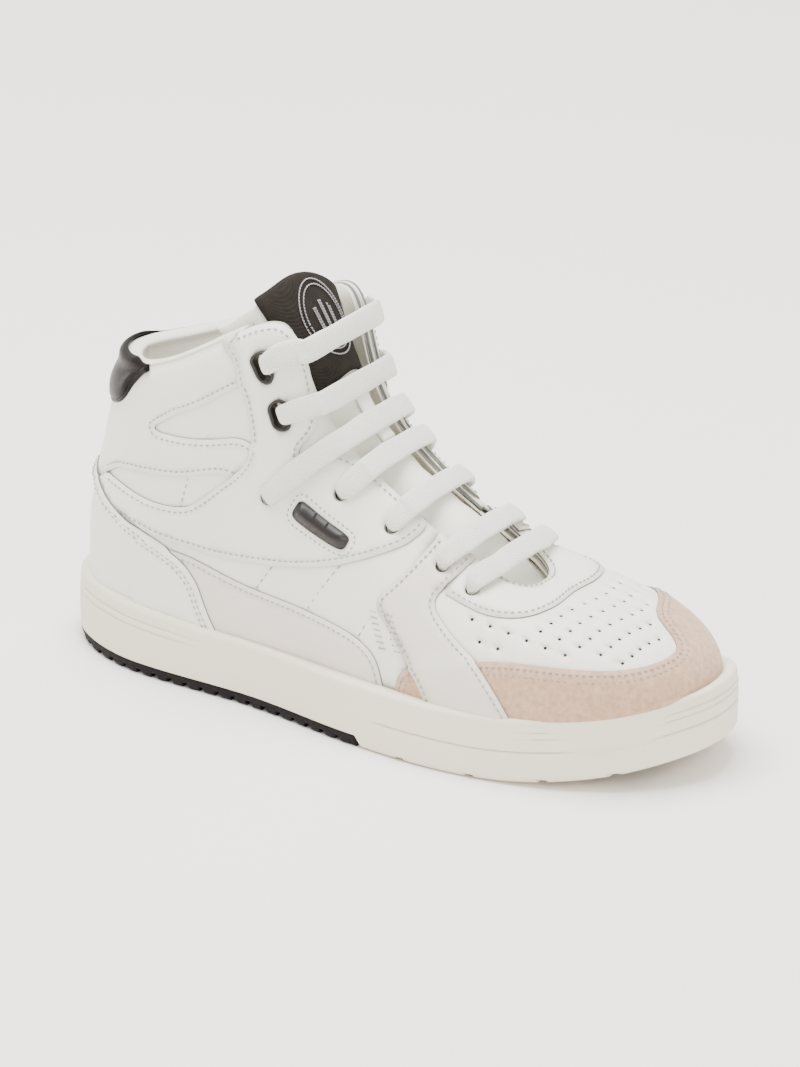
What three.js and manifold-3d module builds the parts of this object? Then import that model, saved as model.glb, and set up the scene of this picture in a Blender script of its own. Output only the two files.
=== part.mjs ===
// A right-foot leather basketball high top, built as one solid per sewn or moulded piece.
// Millimetres, +X toward the toe, +Y toward the inner (medial) side, +Z up. The origin is on the
// ground under the middle of the sole.
import * as THREE from 'three';
import Module from 'manifold-3d';

const wasm = await Module();
wasm.setup();

// ---------------------------------------------------------------- driving dimensions
const HALF_LOOP = 14;        // stations from the toe centre (0) round the outer side to the heel (14)
const FEATHER_HEIGHT = 26;   // height of the line where the upper meets the cup of the sole
const LASTING_DROP = 6;      // how far the leather runs down inside the cup
const GAP = 0.4;             // air left between neighbouring solids
const BASE_SKIN = [-1.4, 0];         // vamp and quarters, offsets from the last surface
const MIDDLE_LAYER = [-2.7, -1.8];   // foam, stiffener and toe puff
const LINING = [-4.2, -3.1];
const OVERLAY = [0.4, 1.5];          // first layer of panels over the base leather
const TOP_OVERLAY = [1.9, 3.0];      // panels that lap over the first layer
const COLLAR_PADDING = 5;            // extra thickness of the ankle collar
const SEAM_ALLOWANCE = 0.25;         // each panel is trimmed this much all round
const HOLE_RADIUS = 3.5;             // punched lace holes
const LACE_WIDTH = 8;
const LACE_THICKNESS = 2.4;
const TOE_SPRING = 14;               // lift of the sole at the tip of the toe
const OUTSOLE_HEIGHT = 5;            // thickness of the dark heel rubber
const OUTSOLE_FRONT = 14.2;          // where the heel rubber ends
const CUP_FLOOR_DROP = 14;           // depth of the cup of the sole below the feather line
const TONGUE_THICKNESS = 4.4;
const TONGUE_PIVOT_U = 6.55;         // where along the throat the tongue folds
const TONGUE_FOLD_WEDGE = 24;        // degrees left open behind the fold

// One row for each station: the foot line (x, outer y, inner y), the rise and lean of the wall at
// the foot line, the top line (x, half width, z), and how far the wall comes out and down from it.
const STATIONS = [
  [145, 3, 3, 17, 0.20, 70, 0, 66, 50, 1],
  [140, -20, 24, 17, 0.20, 69, 6, 66, 46, 1],
  [122, -37, 38, 20, 0.14, 66, 11, 67, 36, 1],
  [96, -45, 44, 24, 0.08, 60, 14, 70, 25, 3],
  [66, -49, 47, 26, 0.05, 48, 16, 76, 18, 6],
  [36, -48, 45, 28, 0, 32, 17, 85, 16, 10],
  [8, -44, 40, 30, 0, 14, 17, 95, 15, 14],
  [-18, -40, 35, 32, 0, -3, 18, 107, 15, 18],
  [-42, -37, 33, 34, 0, -17, 20, 121, 14, 20],
  [-64, -36, 33, 36, 0, -25, 22, 138, 12, 22],
  [-84, -35, 34, 36, 0, -33, 25, 170.5, 8, 30],
  [-102, -34, 35, 34, 0.03, -62, 35, 152, 3, 36],
  [-120, -31, 32, 34, 0.06, -90, 34, 135.5, 2, 32],
  [-136, -22, 24, 34, 0.06, -116, 24, 127, 3, 32],
  [-147, 0, 1, 34, 0.06, -133, 0, 127, 5, 30],
];

// Plan outline of the sole, from the heel round the outer side to the toe and back.
const SOLE_OUTLINE = [
  [-150, 0], [-142, -20], [-112, -37.5], [-40, -43], [10, -51.5], [52, -53.92], [95, -47],
  [128, -31], [147, -8], [150, 8], [142.5, 30], [114, 47], [62, 54.08], [10, 45], [-40, 37],
  [-80, 36], [-112, 38], [-141, 23],
];

// ---------------------------------------------------------------- small helpers
const clamp = (value, low, high) => Math.min(Math.max(value, low), high);
const vec = (x, y, z) => new THREE.Vector3(x, y, z);
const smooth = (value) => {
  const s = clamp(value, 0, 1);
  return s * s * (3 - 2 * s);
};
const featherHeight = (x) =>
  FEATHER_HEIGHT + 11 * clamp((x - 60) / 85, 0, 2) ** 2 + 3 * clamp((-60 - x) / 60, 0, 1);
const springHeight = (x) => TOE_SPRING * clamp((x - 60) / 90, 0, 1.2) ** 2;

// ---------------------------------------------------------------- the last surface
// The surface is a closed loop in u (uniform cubic B-spline) and a cubic curve in t, from the foot
// line (t = 0) to the top line (t = 1). The inner side has negative u.
const LOOP = 2 * HALF_LOOP;
const controlRows = buildControlRows();

function buildControlRows() {
  const stations = [];
  for (let i = 0; i < LOOP; i += 1) {
    const outer = i <= HALF_LOOP;
    const [x, yOuter, yInner, rise, lean, topX, topHalf, topZ, out, down] =
      STATIONS[outer ? i : LOOP - i];
    stations.push({
      foot: vec(x, outer ? yOuter : yInner, featherHeight(x)),
      top: vec(topX, outer ? -topHalf : topHalf, topZ),
      rise, lean, out, down,
    });
  }
  const rows = [[], [], [], []];
  stations.forEach((station, i) => {
    const next = stations[(i + 1) % LOOP].foot;
    const last = stations[(i + LOOP - 1) % LOOP].foot;
    const outward = vec(last.y - next.y, next.x - last.x, 0).normalize();
    rows[0].push(station.foot);
    rows[1].push(station.foot.clone().addScaledVector(outward, station.rise * station.lean)
      .add(vec(0, 0, station.rise)));
    rows[2].push(station.top.clone().addScaledVector(outward, station.out)
      .add(vec(0, 0, -station.down)));
    rows[3].push(station.top);
  });
  return rows;
}

function splineWeights(f) {
  return [
    (1 - f) ** 3 / 6,
    (3 * f ** 3 - 6 * f ** 2 + 4) / 6,
    (-3 * f ** 3 + 3 * f ** 2 + 3 * f + 1) / 6,
    f ** 3 / 6,
  ];
}

function rowPoint(row, u) {
  const cell = Math.floor(u);
  const weights = splineWeights(u - cell);
  const point = vec(0, 0, 0);
  weights.forEach((weight, k) => {
    point.addScaledVector(controlRows[row][(((cell + k - 1) % LOOP) + LOOP) % LOOP], weight);
  });
  return point;
}

function surface(u, t) {
  const up = Math.max(t, 0);
  const point = rowPoint(0, u).multiplyScalar((1 - up) ** 3)
    .addScaledVector(rowPoint(1, u), 3 * up * (1 - up) ** 2)
    .addScaledVector(rowPoint(2, u), 3 * up * up * (1 - up))
    .addScaledVector(rowPoint(3, u), up ** 3);
  point.z += Math.min(t, 0) * 60;
  return point;
}

function tangents(u, t) {
  const step = 1e-3;
  const inside = clamp(t, 0, 1);
  const alongU = surface(u + step, inside).sub(surface(u - step, inside)).divideScalar(2 * step);
  const high = Math.min(inside + step, 1);
  const low = Math.max(inside - step, 0);
  const alongT = surface(u, high).sub(surface(u, low)).divideScalar(high - low);
  const normal = alongT.clone().cross(alongU).normalize();
  return { alongU, alongT, normal };
}

function offsetPoint(u, t, height) {
  return surface(u, t).addScaledVector(tangents(u, t).normal, height);
}

// Extra padding behind the eyelets, fading out at the top line and above the ankle.
function padding(u, t) {
  const aroundHeel = HALF_LOOP - Math.abs(Math.abs(((u % LOOP) + LOOP) % LOOP - HALF_LOOP));
  return COLLAR_PADDING * smooth((aroundHeel - 10.7) / 1.3) * smooth((t - 0.58) / 0.2)
    * (1 - 0.7 * smooth((t - 0.86) / 0.14));
}

// ---------------------------------------------------------------- solids
// A body is { points, faces }. Points are shared between the faces.
function signedVolume(body) {
  return body.faces.reduce((sum, [a, b, c]) => sum
    + body.points[a].dot(body.points[b].clone().cross(body.points[c])), 0) / 6;
}

function facingOut(body) {
  if (signedVolume(body) > 0) {
    return body;
  }
  return { points: body.points, faces: body.faces.map(([a, b, c]) => [a, c, b]) };
}

function toSolid(body) {
  const vertProperties = new Float32Array(body.points.flatMap((p) => [p.x, p.y, p.z]));
  const triVerts = new Uint32Array(body.faces.flat());
  return new wasm.Manifold(new wasm.Mesh({ numProp: 3, vertProperties, triVerts }));
}

function fromSolid(solid) {
  const mesh = solid.getMesh();
  const points = [];
  for (let i = 0; i < mesh.vertProperties.length; i += mesh.numProp) {
    points.push(vec(mesh.vertProperties[i], mesh.vertProperties[i + 1], mesh.vertProperties[i + 2]));
  }
  const faces = [];
  for (let i = 0; i < mesh.triVerts.length; i += 3) {
    faces.push([mesh.triVerts[i], mesh.triVerts[i + 1], mesh.triVerts[i + 2]]);
  }
  return { points, faces };
}

const cut = (body, tools) => fromSolid(
  tools.reduce((solid, tool) => solid.subtract(toSolid(tool)), toSolid(body)));
const keepInside = (body, tool) => fromSolid(toSolid(body).intersect(toSolid(tool)));

function block(minimum, maximum, turnY = 0, pivot = vec(0, 0, 0)) {
  const geometry = new THREE.BoxGeometry(maximum.x - minimum.x, maximum.y - minimum.y,
    maximum.z - minimum.z);
  geometry.translate((minimum.x + maximum.x) / 2, (minimum.y + maximum.y) / 2,
    (minimum.z + maximum.z) / 2);
  geometry.rotateY(turnY);
  geometry.translate(pivot.x, pivot.y, pivot.z);
  return mergedBody(geometry);
}

function mergedBody(geometry) {
  const points = [];
  const index = new Map();
  const remap = [];
  const position = geometry.getAttribute('position');
  for (let i = 0; i < position.count; i += 1) {
    const point = vec(position.getX(i), position.getY(i), position.getZ(i));
    const key = point.toArray().map((value) => value.toFixed(4)).join();
    if (!index.has(key)) {
      index.set(key, points.length);
      points.push(point);
    }
    remap.push(index.get(key));
  }
  const faces = [];
  const order = geometry.getIndex().array;
  for (let i = 0; i < order.length; i += 3) {
    faces.push([remap[order[i]], remap[order[i + 1]], remap[order[i + 2]]]);
  }
  return { points, faces };
}

// Skin over a list of rings with equal point counts. The two end rings are closed by strips that
// run straight across, so an end follows any height that depends on one direction only.
function loft(rings, closedLoop = false) {
  const count = rings[0].length;
  const points = rings.flat();
  const faces = [];
  const last = closedLoop ? rings.length : rings.length - 1;
  for (let r = 0; r < last; r += 1) {
    const here = r * count;
    const there = ((r + 1) % rings.length) * count;
    for (let i = 0; i < count; i += 1) {
      const j = (i + 1) % count;
      faces.push([here + i, here + j, there + j], [here + i, there + j, there + i]);
    }
  }
  if (!closedLoop) {
    stripCap(count, 0).forEach(([a, b, c]) => faces.push([a, c, b]));
    stripCap(count, (rings.length - 1) * count).forEach((face) => faces.push(face));
  }
  return facingOut({ points, faces });
}

function stripCap(count, start) {
  const faces = [];
  let left = 0;
  let right = count - 1;
  while (right - left > 1) {
    faces.push([start + left, start + left + 1, start + right]);
    left += 1;
    if (right - left > 1) {
      faces.push([start + left, start + right - 1, start + right]);
      right -= 1;
    }
  }
  return faces;
}

// ---------------------------------------------------------------- leather panels
// Every layer shares one grid of flat facets in (u, t), so layers at different heights stay
// parallel and never touch. A panel is its outline cut along that grid.
const ROWS = [-0.1, 0, 0.17, 0.34, 0.51, 0.68, 0.84, 1];
const COLUMNS = buildColumns();

function buildColumns() {
  const columns = [];
  for (let u = -19; u <= 19; u += 0.5) {
    const whole = Number.isInteger(u);
    const tight = Math.abs(u) < 2 || Math.abs(Math.abs(u) - HALF_LOOP) < 1;
    if (whole || tight) {
      columns.push(u);
    }
  }
  return columns;
}

const area = (ring) => ring.reduce((sum, p, i) => {
  const q = ring[(i + 1) % ring.length];
  return sum + (p[0] * q[1] - q[0] * p[1]) / 2;
}, 0);

function clipByLine(polygon, a, b) {
  const side = (p) => (b[0] - a[0]) * (p[1] - a[1]) - (b[1] - a[1]) * (p[0] - a[0]);
  const result = [];
  polygon.forEach((p, i) => {
    const q = polygon[(i + 1) % polygon.length];
    const sp = side(p);
    const sq = side(q);
    if (sp >= -1e-12) {
      result.push(p);
    }
    if ((sp > 1e-12 && sq < -1e-12) || (sp < -1e-12 && sq > 1e-12)) {
      const f = sp / (sp - sq);
      result.push([p[0] + (q[0] - p[0]) * f, p[1] + (q[1] - p[1]) * f]);
    }
  });
  return result;
}

function gridTriangles(minU, maxU, minT, maxT) {
  const triangles = [];
  for (let c = 0; c < COLUMNS.length - 1; c += 1) {
    for (let r = 0; r < ROWS.length - 1; r += 1) {
      const [u0, u1, t0, t1] = [COLUMNS[c], COLUMNS[c + 1], ROWS[r], ROWS[r + 1]];
      if (u1 > minU && u0 < maxU && t1 > minT && t0 < maxT) {
        triangles.push([[u0, t0], [u1, t0], [u1, t1]], [[u0, t0], [u1, t1], [u0, t1]]);
      }
    }
  }
  return triangles;
}

const pointKey = (p) => `${Math.round(p[0] * 1e6)},${Math.round(p[1] * 1e6)}`;

// Cuts the outline (with its holes) into pieces that each lie in one grid triangle.
function panelPieces(outline, holes) {
  const toVector = (p) => new THREE.Vector2(p[0], p[1]);
  const corners = [...outline, ...holes.flat()];
  const ears = THREE.ShapeUtils.triangulateShape(outline.map(toVector),
    holes.map((hole) => hole.map(toVector)));
  const grid = gridTriangles(Math.min(...outline.map((p) => p[0])),
    Math.max(...outline.map((p) => p[0])), Math.min(...outline.map((p) => p[1])),
    Math.max(...outline.map((p) => p[1])));
  const cells = grid.map((triangle) => ({ triangle, pieces: [] }));
  ears.forEach((ear) => {
    let polygon = ear.map((i) => corners[i]);
    if (area(polygon) < 0) {
      polygon = polygon.reverse();
    }
    cells.forEach((cell) => {
      let piece = polygon;
      for (let k = 0; k < 3 && piece.length > 2; k += 1) {
        piece = clipByLine(piece, cell.triangle[k], cell.triangle[(k + 1) % 3]);
      }
      const distinct = piece.filter((p, i) => pointKey(p) !== pointKey(piece[(i + 1) % piece.length]));
      if (distinct.length > 2 && area(distinct) > 1e-10) {
        cell.pieces.push(distinct);
      }
    });
  });
  return cells.filter((cell) => cell.pieces.length > 0);
}

// Edges that have no twin running the other way, as a map from start key to [start, end] pairs.
function openEdges(pieces) {
  const edges = new Map();
  pieces.forEach((piece) => piece.forEach((p, i) => {
    const q = piece[(i + 1) % piece.length];
    const twin = `${pointKey(q)}>${pointKey(p)}`;
    if (edges.has(twin)) {
      edges.delete(twin);
    } else {
      edges.set(`${pointKey(p)}>${pointKey(q)}`, [p, q]);
    }
  }));
  return [...edges.values()];
}

function edgeLoops(edges) {
  const waiting = new Map();
  edges.forEach(([p, q]) => {
    const key = pointKey(p);
    waiting.set(key, [...(waiting.get(key) ?? []), q]);
  });
  const loops = [];
  edges.forEach(([start]) => {
    let here = start;
    const ring = [];
    while ((waiting.get(pointKey(here)) ?? []).length > 0) {
      ring.push(here);
      here = waiting.get(pointKey(here)).pop();
    }
    if (ring.length > 2) {
      loops.push(ring);
    }
  });
  return loops;
}

// Solid between two heights over the last surface, inside the outline.
// The sunk function moves the inner face (or with both faces, the whole layer) further inside.
function layer(outline, heights, holes = [], sunk = () => 0, bothFaces = false) {
  const cells = panelPieces(outline, holes);
  const rim = openEdges(cells.flatMap((cell) => cell.pieces));
  const kept = new Set(rim.flat().map(pointKey));
  COLUMNS.forEach((u) => ROWS.forEach((t) => kept.add(pointKey([u, t]))));
  const points = [];
  const faces = [];
  const index = new Map();
  const addPoint = (p, triangle) => {
    const key = pointKey(p);
    if (!index.has(key)) {
      index.set(key, points.length);
      heights.forEach((height, side) => {
        const moves = side === 0 || bothFaces;
        points.push(onFacet(p, triangle, (u, t) => height - (moves ? sunk(u, t) : 0)));
      });
    }
    return index.get(key);
  };
  cells.forEach(({ triangle, pieces }) => {
    const loops = edgeLoops(openEdges(pieces)).map((ring) => ring.filter((p) => kept.has(pointKey(p))));
    const outers = loops.filter((ring) => ring.length > 2 && area(ring) > 0);
    const inners = loops.filter((ring) => ring.length > 2 && area(ring) < 0);
    outers.forEach((ring) => {
      const own = inners.filter((hole) => contains(ring, hole[0]));
      const all = [...ring, ...own.flat()];
      const toVector = (p) => new THREE.Vector2(p[0], p[1]);
      THREE.ShapeUtils.triangulateShape(ring.map(toVector), own.map((hole) => hole.map(toVector)))
        .forEach((ear) => {
          const corners = area(ear.map((i) => all[i])) < 0 ? [...ear].reverse() : ear;
          const [a, b, c] = corners.map((i) => addPoint(all[i], triangle));
          faces.push([a, c, b], [a + 1, b + 1, c + 1]);
        });
    });
  });
  rim.forEach(([p, q]) => {
    const a = index.get(pointKey(p));
    const b = index.get(pointKey(q));
    faces.push([a, b, b + 1], [a, b + 1, a + 1]);
  });
  return facingOut({ points, faces });
}

function contains(ring, point) {
  let inside = false;
  ring.forEach((p, i) => {
    const q = ring[(i + 1) % ring.length];
    const crosses = (p[1] > point[1]) !== (q[1] > point[1]);
    if (crosses && point[0] < ((q[0] - p[0]) * (point[1] - p[1])) / (q[1] - p[1]) + p[0]) {
      inside = !inside;
    }
  });
  return inside;
}

const facetCache = new Map();

function facetCorner(u, t, height) {
  const key = `${u},${t},${height}`;
  if (!facetCache.has(key)) {
    facetCache.set(key, offsetPoint(u, t, height));
  }
  return facetCache.get(key);
}

function onFacet(p, triangle, heightAt) {
  const [a, b, c] = triangle;
  const whole = area(triangle);
  const weights = [area([p, b, c]) / whole, area([a, p, c]) / whole, area([a, b, p]) / whole];
  const point = vec(0, 0, 0);
  triangle.forEach(([u, t], k) => point.addScaledVector(facetCorner(u, t, heightAt(u, t)), weights[k]));
  return point;
}

// A point over the faceted layers, for the parts that pass through them or rest on them.
function layerPoint(u, t, height) {
  const column = clamp(COLUMNS.findIndex((edge) => edge > u) - 1, 0, COLUMNS.length - 2);
  const row = clamp(ROWS.findIndex((edge) => edge > t) - 1, 0, ROWS.length - 2);
  const [u0, u1] = [COLUMNS[column], COLUMNS[column + 1]];
  const [t0, t1] = t >= 1 ? [ROWS[ROWS.length - 2], 1] : [ROWS[row], ROWS[row + 1]];
  const upper = (t - t0) / (t1 - t0) > (u - u0) / (u1 - u0);
  const triangle = upper ? [[u0, t0], [u1, t1], [u0, t1]] : [[u0, t0], [u1, t0], [u1, t1]];
  return onFacet([u, t], triangle, () => height);
}

// Moves an outline inward (or outward for a negative amount) by a distance in millimetres.
function trim(outline, amount = SEAM_ALLOWANCE) {
  const turn = area(outline) > 0 ? 1 : -1;
  return outline.map((p, i) => {
    const frame = tangents(p[0], p[1]);
    const right = frame.alongU.clone().normalize();
    const upward = right.clone().cross(frame.normal);
    const flat = (q) => {
      const step = frame.alongU.clone().multiplyScalar(q[0] - p[0])
        .addScaledVector(frame.alongT, q[1] - p[1]);
      return new THREE.Vector2(step.dot(right), step.dot(upward));
    };
    const before = flat(outline[(i + outline.length - 1) % outline.length]).normalize();
    const after = flat(outline[(i + 1) % outline.length]).normalize();
    const flip = Math.sign(frame.alongT.dot(upward)) * turn;
    const inwardBefore = new THREE.Vector2(before.y, -before.x).multiplyScalar(flip);
    const inwardAfter = new THREE.Vector2(-after.y, after.x).multiplyScalar(flip);
    const inward = inwardBefore.clone().add(inwardAfter);
    const miter = Math.max(inward.length() / 2, 0.5);
    inward.normalize().multiplyScalar(amount / miter);
    const world = right.clone().multiplyScalar(inward.x).addScaledVector(upward, inward.y);
    return [p[0] + solveStep(frame, world)[0], p[1] + solveStep(frame, world)[1]];
  });
}

// The (u, t) step that moves along the surface by a given vector.
function solveStep({ alongU, alongT }, world) {
  const uu = alongU.dot(alongU);
  const ut = alongU.dot(alongT);
  const tt = alongT.dot(alongT);
  const wu = world.dot(alongU);
  const wt = world.dot(alongT);
  const determinant = uu * tt - ut * ut;
  return [(wu * tt - wt * ut) / determinant, (wt * uu - wu * ut) / determinant];
}

// A closed curve on the surface, an oval with straight sides when long is more than wide.
function ovalHole([u, t], wide, long = wide, direction = [1, 0], count = 8) {
  const frame = tangents(u, t);
  const along = frame.alongU.clone().multiplyScalar(direction[0])
    .addScaledVector(frame.alongT, direction[1]).normalize();
  const across = along.clone().cross(frame.normal);
  return Array.from({ length: count }, (_, i) => {
    const angle = ((i + 0.5) / count) * 2 * Math.PI;
    const reach = Math.sign(Math.cos(angle)) * (long - wide) + wide * Math.cos(angle);
    const world = along.clone().multiplyScalar(reach)
      .addScaledVector(across, wide * Math.sin(angle));
    const [du, dt] = solveStep(frame, world);
    return [u + du, t + dt];
  });
}

const mirrored = (outline) => outline.map(([u, t]) => [-u, t]).reverse();
const wrapped = (outline) => [...outline, ...outline.map(([u, t]) => [LOOP - u, t]).reverse()];

// ---------------------------------------------------------------- panel outlines (u, t)
const PANEL_FOOT = -0.06;    // the first overlays run down inside the cup of the sole
const ABOVE_RIM = 0.024;     // the top overlays stop just above the rim of the sole

const eyestayRear = [
  [10.87, 1], [10.85, 0.95], [10.42, 0.778], [10.04, 0.683], [9.65, 0.621], [9.55, 0.586],
  [9.59, 0.537], [9.75, 0.493],
];
const lowerWindowTop = [[10.71, 0.486], [11.49, 0.517], [12.36, 0.535], [12.72, 0.506]];
const lowerWindowBottom = [
  [10.09, 0.427], [10.34, 0.388], [10.57, 0.383], [11.03, 0.396], [11.61, 0.427],
  [12.27, 0.475], [12.7, 0.49],
];
const ankleLowerEdge = [
  [12.9, 0.4], [12.2, 0.34], [11.47, 0.309], [10.57, 0.266], [9.68, 0.257], [8.86, 0.288],
  [7.97, 0.341], [7.42, 0.388], [6.91, 0.45], [6.43, 0.531], [5.98, 0.632], [5.55, 0.762],
  [5.33, 0.887], [5.34, 1],
];
const eyestayFront = [
  [7.1, 1], [7.6, 0.924], [7.85, 0.877], [8.05, 0.78], [8.4, 0.73], [8.6, 0.753], [8.5, 0.819],
  [8.46, 0.9], [8.62, 0.94], [8.9, 1],
];
const ankleOverlay = [...ankleLowerEdge, ...eyestayFront, ...eyestayRear, ...lowerWindowBottom];

const collarHalf = [
  [10.87, 1], [10.85, 0.95], [10.42, 0.778], [10.99, 0.749], [11.42, 0.742], [11.78, 0.717],
  [10.93, 0.632], [9.65, 0.621], [9.55, 0.586], [9.59, 0.537], [9.75, 0.493],
  ...lowerWindowTop, [12.95, 0.47], [13.2, 0.43], [13.6, 0.4],
];
const foxing = [
  [11.1, PANEL_FOOT], [11.2, 0.255], [10.99, 0.262], [10.51, 0.235], [9.78, 0.223], [9.05, 0.219],
  [8.24, 0.219], [7.08, 0.228], [6.23, 0.213], [5.8, 0.176], [5.59, 0.126], [5.48, 0.054],
  [5.4, 0], [5.38, PANEL_FOOT],
];
const counterHalf = [
  [8.95, ABOVE_RIM], [9.12, 0.055], [9.28, 0.091], [9.54, 0.152], [9.91, 0.194], [10.41, 0.23],
  [10.9, 0.265], [11.52, 0.308], [12.26, 0.374], [12.87, 0.433], [13.4, 0.47],
];
const stripe = [
  [3.98, 0.97], [4.18, 0.795], [4.47, 0.657], [4.59, 0.585], [4.56, 0.52], [4.32, 0.443],
  [4.02, 0.355], [3.82, 0.302], [3.62, 0.181], [3.4, 0.04], [3.38, ABOVE_RIM], [4.66, ABOVE_RIM],
  [4.76, 0.064], [5.01, 0.171], [5.3, 0.279], [5.53, 0.338], [5.7, 0.386], [5.7, 0.446],
  [5.48, 0.554], [5.15, 0.751], [4.96, 0.97],
];
const crescentHalf = [
  [0.56, 0.893], [1.86, 0.806], [2.63, 0.697], [2.98, 0.658], [3.47, 0.625], [3.83, 0.631],
  [4.1, 0.637], [4.4, 0.66], [4.42, 0.8], [4.3, 1],
];
const toeCapHalf = [
  [0.12, 0.367], [0.68, 0.346], [1.12, 0.342], [1.53, 0.349], [2.05, 0.368], [2.52, 0.376],
  [3.03, 0.362], [3.54, 0.331], [4.2, 0.26], [4.95, 0.154], [5.16, 0.086], [5.24, 0.007],
  [5.25, PANEL_FOOT],
];
// The inner half of the toe cap reaches higher.
const toeCapInner = [
  [-5.25, PANEL_FOOT], [-5.24, 0.007], [-5.16, 0.086], [-4.95, 0.154], [-4.2, 0.27],
  [-3.5, 0.36], [-2.6, 0.46], [-1.8, 0.53], [-1.1, 0.565], [-0.5, 0.56], [-0.17, 0.51],
];
const heelTabHalf = [[12.6, 0.985], [12.79, 0.953], [12.98, 0.914], [13.12, 0.866], [13.26, 0.822],
  [13.55, 0.785]];
const badgeCorners = [[8.01, 0.566], [7.83, 0.625], [6.61, 0.636], [6.76, 0.563]];

// ---------------------------------------------------------------- laces and eyelets
// Lace rows from the top of the collar to the toe, each as the place of its outer-side hole.
const LACE_ROWS = [
  [10.13, 0.838], [9.36, 0.751], [8.76, 0.531], [7.2, 0.777], [5.92, 0.815], [4.6, 0.801],
  [3.77, 0.763],
];
const METAL_ROWS = 2;                  // the two top rows run through metal eyelets
const EYELET_DIRECTIONS = [[0.33, 0.086], [0.49, 0.033]];
const EYELET_HALF_LENGTH = 6.4;
const EYELET_HALF_WIDTH = 3.8;
const EYELET_SIDES = 12;

const eyeletHoles = LACE_ROWS.slice(0, METAL_ROWS).map((place, row) =>
  ovalHole(place, EYELET_HALF_WIDTH - 0.3, EYELET_HALF_LENGTH - 0.3, EYELET_DIRECTIONS[row],
    EYELET_SIDES));
const punchedHoles = LACE_ROWS.slice(METAL_ROWS).map((place) => ovalHole(place, HOLE_RADIUS));
const ankleHoles = [...eyeletHoles, ...punchedHoles.slice(0, 3)];
const stripeHoles = [punchedHoles[3]];
const vampHoles = punchedHoles.slice(3);
const crescentHoles = [punchedHoles[4]];

// ---------------------------------------------------------------- sole
const OUTLINE_SAMPLES = 44;
const solePlan = new THREE.CatmullRomCurve3(SOLE_OUTLINE.map(([x, y]) => vec(x, y, 0)), true,
  'centripetal').getPoints(OUTLINE_SAMPLES).slice(0, OUTLINE_SAMPLES);

function planOutward(plan, i) {
  const before = plan[(i + plan.length - 1) % plan.length];
  const after = plan[(i + 1) % plan.length];
  return vec(after.y - before.y, before.x - after.x, 0).normalize();
}

function planRing(plan, inset, heightAt) {
  return plan.map((p, i) => {
    const moved = p.clone().addScaledVector(planOutward(plan, i), -inset);
    return vec(moved.x, moved.y, heightAt(p.x));
  });
}

// Sidewall height at a fraction of the way from the ground to the rim.
const rimHeight = (x) => featherHeight(x) + 1;
const wallHeight = (part) => (x) => springHeight(x) + part * (rimHeight(x) - springHeight(x));
const frontMask = (x) => smooth((x - 18) / 12);
const toeMask = (x) => smooth((x - 88) / 14);
const heelMask = (x) => smooth((-66 - x) / 30);

function soleWallRings() {
  const rings = [planRing(solePlan, 1.6, wallHeight(0)), planRing(solePlan, 0.4, wallHeight(0.04))];
  const grooves = [
    { part: 0.49, depth: 0.9, mask: frontMask },
    { part: 0.76, depth: 0.9, mask: (x) => Math.max(toeMask(x), heelMask(x)) },
  ];
  grooves.forEach(({ part, depth, mask }) => {
    rings.push(planRing(solePlan, 0, wallHeight(part - 0.035)));
    rings.push(grooveRing(part, depth, mask));
    rings.push(planRing(solePlan, 0, wallHeight(part + 0.035)));
  });
  rings.push(planRing(solePlan, 0, wallHeight(0.93)));
  rings.push(planRing(solePlan, 0.4, wallHeight(0.98)));
  rings.push(planRing(solePlan, 1.3, wallHeight(1)));
  return rings;
}

function grooveRing(part, depth, mask) {
  return solePlan.map((p, i) => {
    const moved = p.clone().addScaledVector(planOutward(solePlan, i), -depth * mask(p.x));
    return vec(moved.x, moved.y, wallHeight(part)(p.x));
  });
}

function footPlan(offset) {
  const plan = COLUMNS.filter((u) => u >= -HALF_LOOP && u < HALF_LOOP)
    .map((u) => surface(u, 0)).map((p) => vec(p.x, p.y, 0)).reverse();
  return plan.map((p, i) => p.clone().addScaledVector(planOutward(plan, i), offset));
}

// Flat or curved plate over the foot plan, between two heights below the feather line.
function footPlate(offset, low, high) {
  const plan = footPlan(offset);
  return loft([planRing(plan, 0, (x) => featherHeight(x) - low),
    planRing(plan, 0, (x) => featherHeight(x) - high)]);
}

const FLEX_NOTCHES = [36, 68, 98, 124];      // small notches across the forefoot
const TREAD_FRONT = 132;
const TREAD_REAR = 22;
const TREAD_INSET = 9;
const TREAD_DEPTH = 2.4;

function treadPlan(inset) {
  return solePlan.map((p, i) => {
    const moved = p.clone().addScaledVector(planOutward(solePlan, i), -inset);
    const reach = inset - TREAD_INSET;
    return vec(clamp(moved.x, TREAD_REAR + reach, TREAD_FRONT - reach), moved.y, 0);
  });
}

function slabOver(plan, low, high) {
  const keep = plan.filter((p, i) => p.distanceTo(plan[(i + plan.length - 1) % plan.length]) > 0.6);
  const ring = (rise) => keep.map((p) => vec(p.x, p.y, springHeight(p.x) + rise));
  return loft([ring(low), ring(high)]);
}

function buildCupsole() {
  const tools = [
    block(vec(-170, -80, -10), vec(OUTSOLE_FRONT + GAP, 80, OUTSOLE_HEIGHT + GAP)),
    loft([planRing(footPlan(2.1), 0, (x) => featherHeight(x) - CUP_FLOOR_DROP),
      planRing(footPlan(2.1), 0, (x) => featherHeight(x) + 20)]),
    frontHalf(slabOver(treadPlan(TREAD_INSET - GAP), -6, TREAD_DEPTH + GAP), TREAD_REAR - GAP),
  ];
  FLEX_NOTCHES.forEach((x) => tools.push(flexNotch(x)));
  return cut(loft(soleWallRings()), tools);
}

function flexNotch(x) {
  const lift = springHeight(x);
  return block(vec(x - 2, -80, lift - 8), vec(x + 2, 80, lift + 1.5));
}

function frontHalf(body, x) {
  return keepInside(body, block(vec(x, -80, -20), vec(200, 80, 60)));
}

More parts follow.
